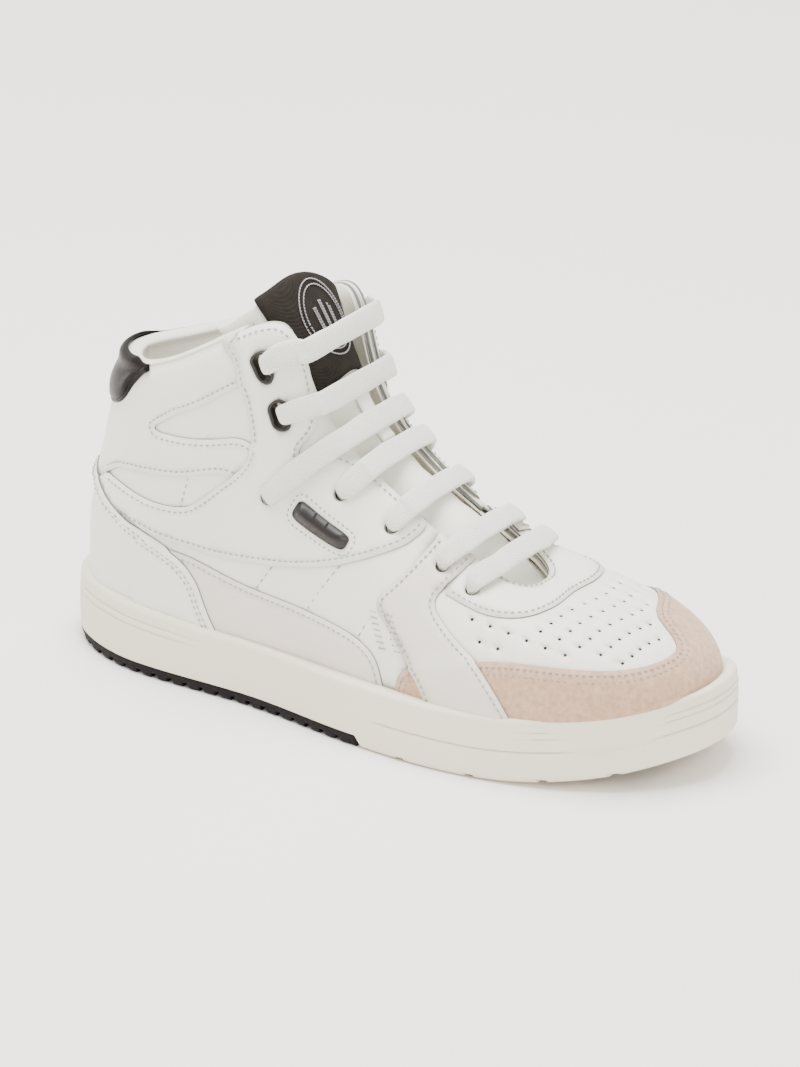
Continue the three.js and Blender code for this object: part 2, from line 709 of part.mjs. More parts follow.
const TOOTH_PITCH = 8;
const TOOTH_NOTCH = 3.2;
const TOOTH_DEPTH = 2.4;

function buildHeelOutsole() {
  const heelLift = (x) => 5 * clamp((-128 - x) / 22, 0, 1) ** 1.5;
  const bottom = solePlan.map((p, i) => {
    const moved = p.clone().addScaledVector(planOutward(solePlan, i), -1.2);
    return vec(moved.x, moved.y, 0.75 * heelLift(p.x));
  });
  const rings = [bottom, planRing(solePlan, 0.2, (x) => 1.2 + 0.6 * heelLift(x)),
    planRing(solePlan, 0.2, () => OUTSOLE_HEIGHT)];
  const body = keepInside(loft(rings), block(vec(-170, -80, -10), vec(OUTSOLE_FRONT, 80, 20)));
  const notches = [];
  for (let x = 6; x > -148; x -= TOOTH_PITCH) {
    notches.push(block(vec(x - TOOTH_NOTCH, -80, -5), vec(x, 80, TOOTH_DEPTH)));
  }
  return cut(body, notches);
}

function buildForefootTread() {
  const slab = frontHalf(slabOver(treadPlan(TREAD_INSET), 0, TREAD_DEPTH), TREAD_REAR);
  const grooves = [];
  for (let x = TREAD_REAR + 6; x < TREAD_FRONT; x += 11) {
    const lift = springHeight(x);
    grooves.push(block(vec(x, -80, lift - 6), vec(x + 2.5, 80, lift + 1.3)));
  }
  return cut(slab, grooves);
}

// ---------------------------------------------------------------- tongue
// The tongue follows the throat: a centre line under the laces and two wings inside the eyestays.
const TONGUE_START = 0.9;
const TONGUE_END = 10.55;
const WING_DEPTH = 10.4;      // how far the wings lie inside the last surface
const TIP_MIDDLE = vec(-45, 0, 172);    // middle of the tongue's top edge
const TIP_CORNER = vec(-66, 24.5, 152);   // and its corner
const TIP_TILT = vec(-8, 0, 4);         // the top leans down to the inner side
const STRAIGHT_FROM = 8.3;   // above this the tongue runs straight to its top edge
const TONGUE_ACROSS = 10;

function throatFrame(u) {
  const edge = rowPoint(3, u);
  const step = rowPoint(3, u + 0.05).sub(rowPoint(3, u - 0.05));
  const along = vec(step.x, 0, step.z).normalize();
  const up = vec(along.z, 0, -along.x);
  return { centre: vec(edge.x, 0, edge.z), along, up: up.z < 0 ? up.negate() : up };
}

function tongueMiddle(u) {
  const start = throatFrame(Math.max(u, 2.2));
  return start.centre.addScaledVector(start.up, 0.2 - 9.8 * smooth((4.9 - u) / 2.5))
    .addScaledVector(start.along, -Math.max(2.2 - u, 0) * 8);
}

function tongueWing(u) {
  const wing = offsetPoint(Math.max(u, 2.2), 0.84, -WING_DEPTH);
  const ahead = throatFrame(2.2).along.multiplyScalar(-Math.max(2.2 - u, 0) * 8);
  return wing.add(ahead);
}

function tonguePoint(u, w) {
  const lift = Math.max(u - STRAIGHT_FROM, 0) / (TONGUE_END - STRAIGHT_FROM);
  const middle = tongueMiddle(Math.min(u, STRAIGHT_FROM)).lerp(TIP_MIDDLE, lift);
  const wing = tongueWing(Math.min(u, STRAIGHT_FROM));
  wing.y = Math.abs(wing.y);
  wing.lerp(TIP_CORNER, lift);
  const drop = Math.abs(w) ** (2 + 3 * lift);   // toward the top only the corners turn back
  return vec(
    middle.x + (wing.x - middle.x) * drop + TIP_TILT.x * lift * lift * w,
    -wing.y * w,
    middle.z + (wing.z - middle.z) * w * w + TIP_TILT.z * lift * lift * w,
  );
}

function tongueNormal(u, w) {
  const alongW = tonguePoint(u, w + 0.01).sub(tonguePoint(u, w - 0.01));
  const alongU = tonguePoint(u + 0.01, w).sub(tonguePoint(u - 0.01, w));
  const normal = alongU.cross(alongW).normalize();
  return normal.x + normal.z < 0 ? normal.negate() : normal;
}

function tongueOffset(u, w, height) {
  return tonguePoint(u, w).addScaledVector(tongueNormal(u, w), height);
}

const tongueStations = (from, to, count) =>
  Array.from({ length: count + 1 }, (_, i) => from + ((to - from) * i) / count);
const tongueAcross = (reach = 1) =>
  tongueStations(-reach, reach, TONGUE_ACROSS);

// Padded in the middle and thinner at the wings.
const tongueHalfThickness = (w) => (TONGUE_THICKNESS / 2) * (1 - 0.45 * w ** 4);

function buildTongueBlank() {
  const rings = tongueStations(TONGUE_START, TONGUE_END, 17).map((u) => {
    const front = tongueAcross().map((w) => tongueOffset(u, w, tongueHalfThickness(w)));
    const back = tongueAcross().map((w) => tongueOffset(u, w, -tongueHalfThickness(w))).reverse();
    return [...front, ...back];
  });
  return loft(rings);
}

const pivotFrame = throatFrame(TONGUE_PIVOT_U);
const pivot = tongueWing(TONGUE_PIVOT_U).setY(0);
pivot.addScaledVector(pivotFrame.up, -TONGUE_THICKNESS / 2 - 1);
const throatAngle = Math.atan2(pivotFrame.up.x, pivotFrame.up.z);

function buildTongueParts() {
  const blank = buildTongueBlank();
  const wedge = THREE.MathUtils.degToRad(TONGUE_FOLD_WEDGE);
  const toToe = block(vec(0, -90, -150), vec(300, 90, 150), throatAngle, pivot);
  const toCollar = block(vec(-300, -90, -150), vec(-0.5, 90, 150), throatAngle, pivot);
  const behindFold = block(vec(-300, -90, -300), vec(300, 90, 0), throatAngle - wedge, pivot);
  return {
    lower: keepInside(blank, toToe),
    upper: cut(keepInside(blank, toCollar), [behindFold]),
  };
}

// A folded cover over the top of the tongue, in front, over the edge and behind.
const LABEL_START = 8.75;
const LABEL_REACH = 0.8;

function buildTongueLabel() {
  const half = TONGUE_THICKNESS / 2;
  const rings = tongueStations(-LABEL_REACH, LABEL_REACH, 8).map((w) => {
    const over = (u, height, past) => tongueOffset(u, w, height)
      .addScaledVector(tongueAlong(w), past);
    const front = tongueStations(LABEL_START, TONGUE_END, 5);
    const back = tongueStations(10, TONGUE_END, 1);
    return [
      ...front.map((u) => over(u, half + 1.4, 0)),
      over(TONGUE_END, 0.9, 1.4),
      over(TONGUE_END, -0.9, 1.4),
      ...[...back].reverse().map((u) => over(u, -half - 1.4, 0)),
      ...back.map((u) => over(u, -half - 0.4, 0)),
      over(TONGUE_END, -half - 0.4, 0.4),
      over(TONGUE_END, half + 0.4, 0.4),
      ...[...front].reverse().map((u) => over(u, half + 0.5, 0)),
    ];
  });
  return loftCapped(rings);
}

function tongueAlong(w) {
  return tonguePoint(TONGUE_END, w).sub(tonguePoint(TONGUE_END - 0.05, w)).normalize();
}

// Like loft, but the end rings are thin folded shapes, so their caps pair outer and inner points.
function loftCapped(rings) {
  const body = loft([rings[0], rings[1]], true);
  const count = rings[0].length;
  const points = rings.flat();
  const faces = [];
  for (let r = 0; r < rings.length - 1; r += 1) {
    for (let i = 0; i < count; i += 1) {
      const j = (i + 1) % count;
      faces.push([r * count + i, r * count + j, (r + 1) * count + j]);
      faces.push([r * count + i, (r + 1) * count + j, (r + 1) * count + i]);
    }
  }
  const start = (rings.length - 1) * count;
  for (let i = 0; i < count / 2 - 1; i += 1) {
    const k = count - 1 - i;
    faces.push([i, k, i + 1], [i + 1, k, k - 1]);
    faces.push([start + i, start + i + 1, start + k], [start + i + 1, start + k - 1, start + k]);
  }
  return body.points.length > 0 ? facingOut({ points, faces }) : body;
}

// Small strap on the front of the tongue that holds the laces in the middle.
function buildLaceKeeper() {
  const half = TONGUE_THICKNESS / 2;
  const rings = tongueStations(7.15, 8.55, 4).map((u) => [
    ...[-0.2, -0.07, 0.07, 0.2].map((w) => tongueOffset(u, w, half + 1.4)),
    ...[0.2, 0.07, -0.07, -0.2].map((w) => tongueOffset(u, w, half + 0.6)),
  ]);
  return loft(rings);
}

// ---------------------------------------------------------------- lace
// One lace runs the whole way: across a row, down through the hole, along inside, up through the
// next hole and back across.
const LACE_OVER = 4.2;           // height of the lace over the first overlays
const LACE_OVER_STRIPE = 5.2;    // and over the forefoot stripe
const LACE_INSIDE = -6.7;         // height of the hidden runs behind the lining
const BUNCH_WIDTH = 3;
const BUNCH_THICKNESS = 2.6;
const ROW_TOP_U = [9.44, 8.56, 7.65, 6.87, 5.75, 4.39, 3.3];  // where each row leaves the eyestay

function rowPath(row, fromOuter) {
  const [u, t] = LACE_ROWS[row];
  const over = row >= 5 ? LACE_OVER_STRIPE : LACE_OVER;
  const beside = [3.2, 3.2, 1.6, 0, 0, 0, 0][row];
  const topU = ROW_TOP_U[row];
  const side = (sign) => [
    { at: layerPoint(sign * u, t, LACE_INSIDE + 0.8), flat: false },
    { at: layerPoint(sign * u, t, over + beside - 0.6), flat: false },
    ...(row === 2 ? [0.25, 0.6, 1] : [0.45, 1]).map((f) => ({
      at: layerPoint(sign * (u + (topU - u) * f), t + (1 - t) * f, over + beside * (1 - f)),
      flat: true,
    })),
  ];
  const top = throatFrame(topU);
  const middle = (across, lift) => ({
    at: top.centre.clone().addScaledVector(top.up, lift)
      .add(vec(0, across * Math.abs(rowPoint(3, topU).y), 0)),
    flat: true,
  });
  const lift = row >= 5 ? 0.8 : 0;
  const path = [...side(1), middle(-0.5, 6.6 + lift), middle(0.5, 6.6 + lift),
    ...side(-1).reverse()];
  return fromOuter ? path : path.reverse();
}

function insidePath(row, sign) {
  const [u0, t0] = LACE_ROWS[row];
  const [u1, t1] = LACE_ROWS[row - 1];
  return [0.22, 0.5, 0.78].map((f) => ({
    at: layerPoint(sign * (u0 + (u1 - u0) * f), t0 + (t1 - t0) * f, LACE_INSIDE),
    flat: false,
  }));
}

function lacePath() {
  const path = [];
  const tail = (row, sign, reach) => ({
    at: layerPoint(sign * (LACE_ROWS[row][0] + reach), LACE_ROWS[row][1] - 0.02, LACE_INSIDE),
    flat: false,
  });
  path.push(tail(6, 1, -0.25));
  let fromOuter = true;
  for (let row = 6; row >= 0; row -= 1) {
    path.push(...rowPath(row, fromOuter));
    if (row > 0) {
      path.push(...insidePath(row, fromOuter ? -1 : 1));
    }
    fromOuter = !fromOuter;
  }
  path.push(tail(0, -1, -0.2));
  return path;
}

// Sweeps a rounded flat section along the path, wide where it lies flat and bunched in the holes.
function buildLace() {
  const path = lacePath();
  const rings = path.map(({ at, flat }, i) => {
    const before = path[Math.max(i - 1, 0)].at;
    const after = path[Math.min(i + 1, path.length - 1)].at;
    const forward = after.clone().sub(before).normalize();
    return { at, flat, forward };
  });
  let across = vec(1, 0, 0);
  const shapes = rings.map(({ at, flat, forward }) => {
    const carried = across.clone().addScaledVector(forward, -across.dot(forward)).normalize();
    across = carried;
    if (flat) {
      const wanted = throatDirection(at);
      wanted.addScaledVector(forward, -wanted.dot(forward)).normalize();
      across = wanted.dot(carried) < 0 ? wanted.negate() : wanted;
    }
    const up = forward.clone().cross(across);
    const half = (flat ? LACE_WIDTH : BUNCH_WIDTH) / 2;
    const thick = (flat ? LACE_THICKNESS : BUNCH_THICKNESS) / 2;
    return laceSection(at, across, up, half, thick);
  });
  return loft(shapes);
}

function laceSection(at, across, up, half, thick) {
  const corners = [[1, 0], [0.7, 1], [-0.7, 1], [-1, 0], [-0.7, -1], [0.7, -1]];
  return corners.map(([a, b]) => at.clone().addScaledVector(across, a * half)
    .addScaledVector(up, b * thick));
}

// Direction along the throat at a point, toward the collar.
function throatDirection(point) {
  let best = 3;
  for (let u = 3; u <= 10.5; u += 0.25) {
    const here = throatFrame(u).centre;
    const beat = throatFrame(best).centre;
    if (Math.hypot(here.x - point.x, here.z - point.z)
      < Math.hypot(beat.x - point.x, beat.z - point.z)) {
      best = u;
    }
  }
  return throatFrame(best).along.clone();
}

// ---------------------------------------------------------------- eyelets and heel tab
// A flanged oval ring: a thin barrel through the layers with a rounded flange on top.
function buildEyelet(row, sign) {
  const [u, t] = LACE_ROWS[row];
  const direction = [sign * EYELET_DIRECTIONS[row][0], EYELET_DIRECTIONS[row][1]];
  const profile = [[-1.5, -4.7], [-1.5, 2.8], [-0.8, 3.3], [0.1, 3.2], [0.5, 2.7], [0.5, 2.1],
    [-0.95, 2.1], [-0.95, -4.7]];
  const ovals = profile.map(([grow]) => ovalHole([sign * u, t], EYELET_HALF_WIDTH + grow,
    EYELET_HALF_LENGTH + grow, direction, EYELET_SIDES));
  const rings = Array.from({ length: EYELET_SIDES }, (_, i) => profile.map(([, height], k) =>
    layerPoint(ovals[k][i][0], ovals[k][i][1], height)));
  return loft(rings, true);
}

// Piped tab over the back of the collar: down the outside and over the rim.
function buildHeelTab() {
  const sides = [...heelTabHalf, [14, 0.775]];
  const stations = [...sides, ...sides.slice(0, -1).map(([u, t]) => [LOOP - u, t]).reverse()];
  const rings = stations.map(([u, low]) => {
    const rim = layerPoint(u, 1, 0);
    const out = tangents(u, 1).normal;
    out.z = 0;
    out.normalize();
    const level = (reach, rise) => rim.clone().addScaledVector(out, reach).add(vec(0, 0, rise));
    const middle = (low + 1) / 2;
    return [
      layerPoint(u, low, 3.1), layerPoint(u, middle, 3.3), level(3.2, 0), level(2.2, 2.2),
      level(-4.8, 2.2), level(-4.8, 0.9), level(2, 1), level(2.4, -0.4),
      layerPoint(u, middle, 2.3), layerPoint(u, low, 2.3),
    ];
  });
  return loftCapped(rings);
}

// ---------------------------------------------------------------- colours
const WHITE_LEATHER = { color: 0xeeede8, roughness: 0.5, metalness: 0 };
const OFF_WHITE_LEATHER = { color: 0xe2dad0, roughness: 0.55, metalness: 0 };
const SUEDE = { color: 0xcbb3a3, roughness: 0.95, metalness: 0 };
const BLACK_LEATHER = { color: 0x25201e, roughness: 0.3, metalness: 0 };
const CREAM_LINING = { color: 0xe8e2d2, roughness: 0.85, metalness: 0 };
const RUBBER_WHITE = { color: 0xdfdacf, roughness: 0.6, metalness: 0 };
const RUBBER_BLACK = { color: 0x2a2628, roughness: 0.7, metalness: 0 };
const FOAM = { color: 0xd9d6cc, roughness: 0.95, metalness: 0 };
const BOARD = { color: 0xbfb7a4, roughness: 0.9, metalness: 0 };
const BLACK_METAL = { color: 0x171616, roughness: 0.2, metalness: 0.8 };
const LABEL_CLOTH = { color: 0x35302c, roughness: 0.8, metalness: 0 };
const LACE_CLOTH = { color: 0xf2f1ec, roughness: 0.9, metalness: 0 };

// ---------------------------------------------------------------- assembly
const shoe = new THREE.Group();
shoe.name = 'basketball_high_top';

function addPiece(name, body, look, parent = shoe) {
  const geometry = new THREE.BufferGeometry();
  geometry.setAttribute('position',
    new THREE.Float32BufferAttribute(body.points.flatMap((p) => [p.x, p.y, p.z]), 3));
  geometry.setIndex(body.faces.flat());
  geometry.computeVertexNormals();
  const mesh = new THREE.Mesh(geometry, new THREE.MeshStandardMaterial(look));
  mesh.name = name;
  parent.add(mesh);
}

const rectangle = (u0, u1, t0, t1) => [[u0, t0], [u1, t0], [u1, t1], [u0, t1]];
const FOOT = -LASTING_DROP / 60;
const bothSides = (holes) => [...holes, ...holes.map(mirrored)];

// sole unit
addPiece('cupsole', buildCupsole(), RUBBER_WHITE);
addPiece('heel_outsole', buildHeelOutsole(), RUBBER_BLACK);
addPiece('forefoot_tread', buildForefootTread(), RUBBER_BLACK);
addPiece('midsole_foam', footPlate(1.5, CUP_FLOOR_DROP - GAP, LASTING_DROP + GAP), FOAM);
addPiece('strobel_board', footPlate(-4.8, LASTING_DROP - 0.3, LASTING_DROP - 1.6), BOARD);
addPiece('footbed', footPlate(-5, LASTING_DROP - 2, 0.2), CREAM_LINING);

// lining, foam and stiffeners
addPiece('vamp_lining', layer(trim(rectangle(-5, 5, FOOT, 1)), LINING, bothSides(vampHoles)),
  CREAM_LINING);
addPiece('collar_lining', layer(trim(rectangle(10.6, 17.4, 0.502, 1)), LINING, [], padding, true),
  CREAM_LINING);
addPiece('heel_lining', layer(trim(rectangle(10.6, 17.4, FOOT, 0.498)), LINING, [], padding, true),
  CREAM_LINING);
addPiece('toe_puff', layer(rectangle(-3, 3, 0.02, 0.48), MIDDLE_LAYER), BOARD);
addPiece('heel_stiffener', layer(rectangle(10.9, 17.1, 0.02, 0.52), MIDDLE_LAYER), BOARD);
addPiece('collar_foam', layer(rectangle(10.9, 17.1, 0.54, 0.96), MIDDLE_LAYER, [], padding), FOAM);
addPiece('vamp', layer(trim(rectangle(-5, 5, FOOT, 1)), BASE_SKIN, bothSides(vampHoles)),
  WHITE_LEATHER);
for (const [side, flip] of [['outer', (o) => o], ['inner', mirrored]]) {
  const quarter = rectangle(5, HALF_LOOP, FOOT, 1);
  addPiece(`quarter_${side}`, layer(flip(trim(quarter)), BASE_SKIN, ankleHoles.map(flip)),
    WHITE_LEATHER);
  addPiece(`quarter_foam_${side}`,
    layer(flip(rectangle(5.2, 10.5, 0, 0.97)), MIDDLE_LAYER, ankleHoles.map(flip)), FOAM);
  addPiece(`side_lining_${side}`,
    layer(flip(trim(rectangle(5, 10.6, FOOT, 1))), LINING, ankleHoles.map(flip)), CREAM_LINING);
}

// leather panels
addPiece('toe_cap', layer(trim([...toeCapHalf, ...toeCapInner]), OVERLAY), SUEDE);
addPiece('throat_crescent', layer(trim([...crescentHalf, ...mirrored(crescentHalf)]), OVERLAY,
  bothSides(crescentHoles)), WHITE_LEATHER);
addPiece('collar_panel', layer(trim(wrapped(collarHalf)), OVERLAY), WHITE_LEATHER);
addPiece('heel_counter', layer(trim(wrapped(counterHalf)), TOP_OVERLAY), WHITE_LEATHER);
for (const [side, flip] of [['outer', (o) => o], ['inner', mirrored]]) {
  addPiece(`ankle_overlay_${side}`, layer(flip(trim(ankleOverlay)), OVERLAY, ankleHoles.map(flip)),
    WHITE_LEATHER);
  addPiece(`foxing_${side}`, layer(flip(trim(foxing)), OVERLAY), OFF_WHITE_LEATHER);
  addPiece(`forefoot_stripe_${side}`, layer(flip(trim(stripe)), TOP_OVERLAY, stripeHoles.map(flip)),
    OFF_WHITE_LEATHER);
}
addPiece('heel_tab', buildHeelTab(), BLACK_LEATHER);
addPiece('side_badge', layer(trim(badgeCorners, 0.4), [1.9, 4]), BLACK_METAL);

// eyelets and lace
for (let row = 0; row < METAL_ROWS; row += 1) {
  addPiece(`eyelet_outer_${row + 1}`, buildEyelet(row, 1), BLACK_METAL);
  addPiece(`eyelet_inner_${row + 1}`, buildEyelet(row, -1), BLACK_METAL);
}
addPiece('lace', buildLace(), LACE_CLOTH);

// tongue
const tongue = buildTongueParts();
addPiece('tongue_lower', tongue.lower, WHITE_LEATHER);
addPiece('tongue_upper', tongue.upper, WHITE_LEATHER);
addPiece('tongue_label', buildTongueLabel(), LABEL_CLOTH);
addPiece('lace_keeper', buildLaceKeeper(), WHITE_LEATHER);

export default shoe;
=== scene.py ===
"""Looks of a white leather basketball high top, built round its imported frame.

Everything is worked out in millimetres in the frame's own axes (+X toe, +Y inner side, +Z up)
and turned into metres when a mesh is made.
"""

import math

import bpy
import numpy as np
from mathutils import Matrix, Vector
from mathutils.geometry import delaunay_2d_cdt

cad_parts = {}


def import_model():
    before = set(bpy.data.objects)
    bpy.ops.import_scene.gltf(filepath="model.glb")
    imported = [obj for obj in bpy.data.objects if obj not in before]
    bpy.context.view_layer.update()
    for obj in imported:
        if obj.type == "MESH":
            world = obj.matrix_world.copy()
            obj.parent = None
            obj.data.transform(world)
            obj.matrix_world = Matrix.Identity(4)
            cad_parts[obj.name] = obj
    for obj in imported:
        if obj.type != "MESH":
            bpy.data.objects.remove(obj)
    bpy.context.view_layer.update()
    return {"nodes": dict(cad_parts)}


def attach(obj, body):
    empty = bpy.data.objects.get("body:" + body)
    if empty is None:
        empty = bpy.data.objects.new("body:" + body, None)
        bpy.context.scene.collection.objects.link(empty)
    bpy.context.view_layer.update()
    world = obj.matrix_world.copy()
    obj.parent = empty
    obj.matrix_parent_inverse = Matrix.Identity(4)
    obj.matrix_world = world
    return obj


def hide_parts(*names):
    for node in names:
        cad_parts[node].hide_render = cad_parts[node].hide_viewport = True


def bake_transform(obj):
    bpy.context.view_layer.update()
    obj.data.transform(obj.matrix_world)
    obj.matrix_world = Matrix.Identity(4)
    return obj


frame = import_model()
MM = 0.001

# ---------------------------------------------------------------- sizes
HALF_LOOP = 14            # surface stations from the toe (0) round the outer side to the heel
LOOP = 2 * HALF_LOOP
WHOLE_TURN = np.array([LOOP, 0])
SIDES = ((1, "outer"), (-1, "inner"))
FEATHER_HEIGHT = 26.0     # where the upper meets the cup of the sole
COLLAR_PADDING = 5.0
TOE_SPRING = 14.0
TONGUE_THICKNESS = 4.6
LACE_HALF_WIDTH = 4.9
LACE_HALF_THICKNESS = 1.55
PANEL_THICKNESS = 1.5
STITCH_PITCH = 2.7
STITCH_LENGTH = 1.6
STITCH_HALF_WIDTH = 0.32

# foot line x, outer y, inner y, rise, lean, top line x, half width, z, out, down
STATIONS = np.array([
    (145, 3, 3, 17, 0.20, 70, 0, 66, 50, 1),
    (140, -20, 24, 17, 0.20, 69, 6, 66, 46, 1),
    (122, -37, 38, 20, 0.14, 66, 11, 67, 36, 1),
    (96, -45, 44, 24, 0.08, 60, 14, 70, 25, 3),
    (66, -49, 47, 26, 0.05, 48, 16, 76, 18, 6),
    (36, -48, 45, 28, 0, 32, 17, 85, 16, 10),
    (8, -44, 40, 30, 0, 14, 17, 95, 15, 14),
    (-18, -40, 35, 32, 0, -3, 18, 107, 15, 18),
    (-42, -37, 33, 34, 0, -17, 20, 121, 14, 20),
    (-64, -36, 33, 36, 0, -25, 22, 138, 12, 22),
    (-84, -35, 34, 36, 0, -33, 25, 170.5, 8, 30),
    (-102, -34, 35, 34, 0.03, -62, 35, 152, 3, 36),
    (-120, -31, 32, 34, 0.06, -90, 34, 135.5, 2, 32),
    (-136, -22, 24, 34, 0.06, -116, 24, 127, 3, 32),
    (-147, 0, 1, 34, 0.06, -133, 0, 127, 5, 30),
])

SOLE_OUTLINE = np.array([
    (-150, 0), (-142, -20), (-112, -37.5), (-40, -43), (10, -51.5), (52, -53.92), (95, -47),
    (128, -31), (147, -8), (150, 8), (142.5, 30), (114, 47), (62, 54.08), (10, 45), (-40, 37),
    (-80, 36), (-112, 38), (-141, 23),
])


# ---------------------------------------------------------------- small maths
def smooth(value):
    s = np.clip(value, 0, 1)
    return s * s * (3 - 2 * s)


def unit(vectors):
    return vectors / (np.linalg.norm(vectors, axis=-1, keepdims=True) + 1e-12)


def feather_height(x):
    toe = 11 * np.clip((x - 60) / 85, 0, 2) ** 2
    return FEATHER_HEIGHT + toe + 3 * np.clip((-60 - x) / 60, 0, 1)


def spring_height(x):
    return TOE_SPRING * np.clip((x - 60) / 90, 0, 1.2) ** 2


def catmull(points, per_span=8):
    """Smooth curve through the points; the ends are kept."""
    points = np.asarray(points, float)
    padded = np.vstack([2 * points[0] - points[1], points, 2 * points[-1] - points[-2]])
    result = []
    for k in range(len(padded) - 3):
        a, b, c, d = padded[k:k + 4]
        f = np.linspace(0, 1, per_span, endpoint=False)[:, None]
        result.append(0.5 * (2 * b + (c - a) * f + (2 * a - 5 * b + 4 * c - d) * f ** 2
                             + (3 * b - 3 * c + d - a) * f ** 3))
    return np.vstack(result + [points[-1:]])


# ---------------------------------------------------------------- the last surface
def control_rows():
    order = list(range(HALF_LOOP + 1)) + list(range(HALF_LOOP - 1, 0, -1))
    rows = STATIONS[order]
    outer = np.arange(LOOP) <= HALF_LOOP
    foot_y = np.where(outer, rows[:, 1], rows[:, 2])
    foot = np.column_stack([rows[:, 0], foot_y, feather_height(rows[:, 0])])
    top = np.column_stack([rows[:, 5], np.where(outer, -rows[:, 6], rows[:, 6]), rows[:, 7]])
    step = np.roll(foot, -1, 0) - np.roll(foot, 1, 0)
    outward = unit(np.column_stack([-step[:, 1], step[:, 0], np.zeros(LOOP)]))
    up = np.array([0, 0, 1.0])
    low = foot + outward * (rows[:, 3] * rows[:, 4])[:, None] + up * rows[:, 3:4]
    high = top + outward * rows[:, 8:9] - up * rows[:, 9:10]
    return np.stack([foot, low, high, top])


ROWS = control_rows()


def spline_weights(f):
    return [(1 - f) ** 3 / 6, (3 * f ** 3 - 6 * f ** 2 + 4) / 6,
            (-3 * f ** 3 + 3 * f ** 2 + 3 * f + 1) / 6, f ** 3 / 6]


def row_point(row, u):
    u = np.asarray(u, float)
    cell = np.floor(u).astype(int)
    weights = spline_weights(u - cell)
    return sum(weights[k][..., None] * ROWS[row][(cell + k - 1) % LOOP] for k in range(4))


def surface(u, t):
    u, t = np.broadcast_arrays(np.asarray(u, float), np.asarray(t, float))
    up = np.maximum(t, 0)[..., None]
    point = (row_point(0, u) * (1 - up) ** 3 + row_point(1, u) * 3 * up * (1 - up) ** 2
             + row_point(2, u) * 3 * up ** 2 * (1 - up) + row_point(3, u) * up ** 3)
    point[..., 2] += np.minimum(t, 0) * 60
    return point


def tangents(u, t):
    step = 1e-3
    inside = np.clip(t, 0, 1)
    along_u = (surface(u + step, inside) - surface(u - step, inside)) / (2 * step)
    high = np.minimum(inside + step, 1)
    low = np.maximum(inside - step, 0)
    along_t = (surface(u, high) - surface(u, low)) / (high - low)[..., None]
    return along_u, along_t, unit(np.cross(along_t, along_u))


def lifted(u, t, height):
    """Points a given height over the last surface."""
    u, t = np.asarray(u, float), np.asarray(t, float)
    height = np.broadcast_to(np.asarray(height, float), u.shape)
    return surface(u, t) + tangents(u, t)[2] * height[..., None]


def padding(u, t):
    around = HALF_LOOP - np.abs(np.mod(u, LOOP) - HALF_LOOP)
    return (COLLAR_PADDING * smooth((around - 10.7) / 1.3) * smooth((t - 0.58) / 0.2)
            * (1 - 0.7 * smooth((t - 0.86) / 0.14)))


def surface_step(along_u, along_t, world):
    """The (u, t) steps that move along the surface by the given vectors."""
    uu = (along_u * along_u).sum(-1)
    ut = (along_u * along_t).sum(-1)
    tt = (along_t * along_t).sum(-1)
    wu = (world * along_u).sum(-1)
    wt = (world * along_t).sum(-1)
    scale = uu * tt - ut * ut
    return np.stack([(wu * tt - wt * ut) / scale, (wt * uu - wu * ut) / scale], -1)


def shifted(path, distance, closed=False):
    """A path in (u, t) moved sideways over the surface, to the left of its direction."""
    path = np.asarray(path, float)
    along_u, along_t, normal = tangents(path[:, 0], path[:, 1])
    ahead = np.roll(path, -1, 0) - path
    behind = path - np.roll(path, 1, 0)
    if not closed:
        ahead[-1] = behind[-1]
        behind[0] = ahead[0]

    def world(step):
        return unit(along_u * step[:, :1] + along_t * step[:, 1:])

    side_a = np.cross(world(ahead), normal)
    side_b = np.cross(world(behind), normal)
    side = side_a + side_b
    length = np.maximum(np.linalg.norm(side, axis=1) / 2, 0.55)
    side = unit(side) * distance / length[:, None]
    return path + surface_step(along_u, along_t, side)


def path_length(points):
    return np.r_[0, np.cumsum(np.linalg.norm(np.diff(points, axis=0), axis=1))]


def resampled(path, spacing, closed=False):
    """Points along a (u, t) path at even steps in millimetres."""
    path = np.asarray(path, float)
    if closed:
        path = np.vstack([path, path[:1]])
    distance = path_length(surface(path[:, 0], path[:, 1]))
    count = max(int(round(distance[-1] / spacing)), 3)
    at = np.linspace(0, distance[-1], count + 1)
    if closed:
        at = at[:-1]
    return np.column_stack([np.interp(at, distance, path[:, k]) for k in range(2)])


def inside_of(points, ring):
    """Which points lie inside a closed ring, in the (u, t) plane."""
    a, b = ring, np.roll(ring, -1, 0)
    x, y = points[:, 0][:, None], points[:, 1][:, None]
    spans = (a[:, 1] > y) != (b[:, 1] > y)
    rise = np.where(np.abs(b[:, 1] - a[:, 1]) < 1e-12, 1e-12, b[:, 1] - a[:, 1])
    crossing = (b[:, 0] - a[:, 0]) * (y - a[:, 1]) / rise + a[:, 0]
    return (spans & (x < crossing)).sum(1) % 2 == 1


def distance_to(points, line, closed=True):
    """Distance in millimetres from surface points to a polyline of surface points."""
    ends = np.roll(line, -1, 0) if closed else line[1:]
    starts = line if closed else line[:-1]
    best = np.full(len(points), 1e9)
    for part in range(0, len(points), 1500):
        p = points[part:part + 1500, None]
        step = (ends - starts)[None]
        f = ((p - starts[None]) * step).sum(-1) / ((step ** 2).sum(-1) + 1e-12)
        near = starts[None] + step * np.clip(f, 0, 1)[..., None]
        best[part:part + 1500] = np.linalg.norm(p - near, axis=-1).min(1)
    return best


def signed_area(ring):
    """Twice the area of a ring, above zero where it turns left."""
    return (ring[:, 0] * np.roll(ring[:, 1], -1) - np.roll(ring[:, 0], -1) * ring[:, 1]).sum()


def left_turning(ring):
    return ring if signed_area(ring) > 0 else ring[::-1]


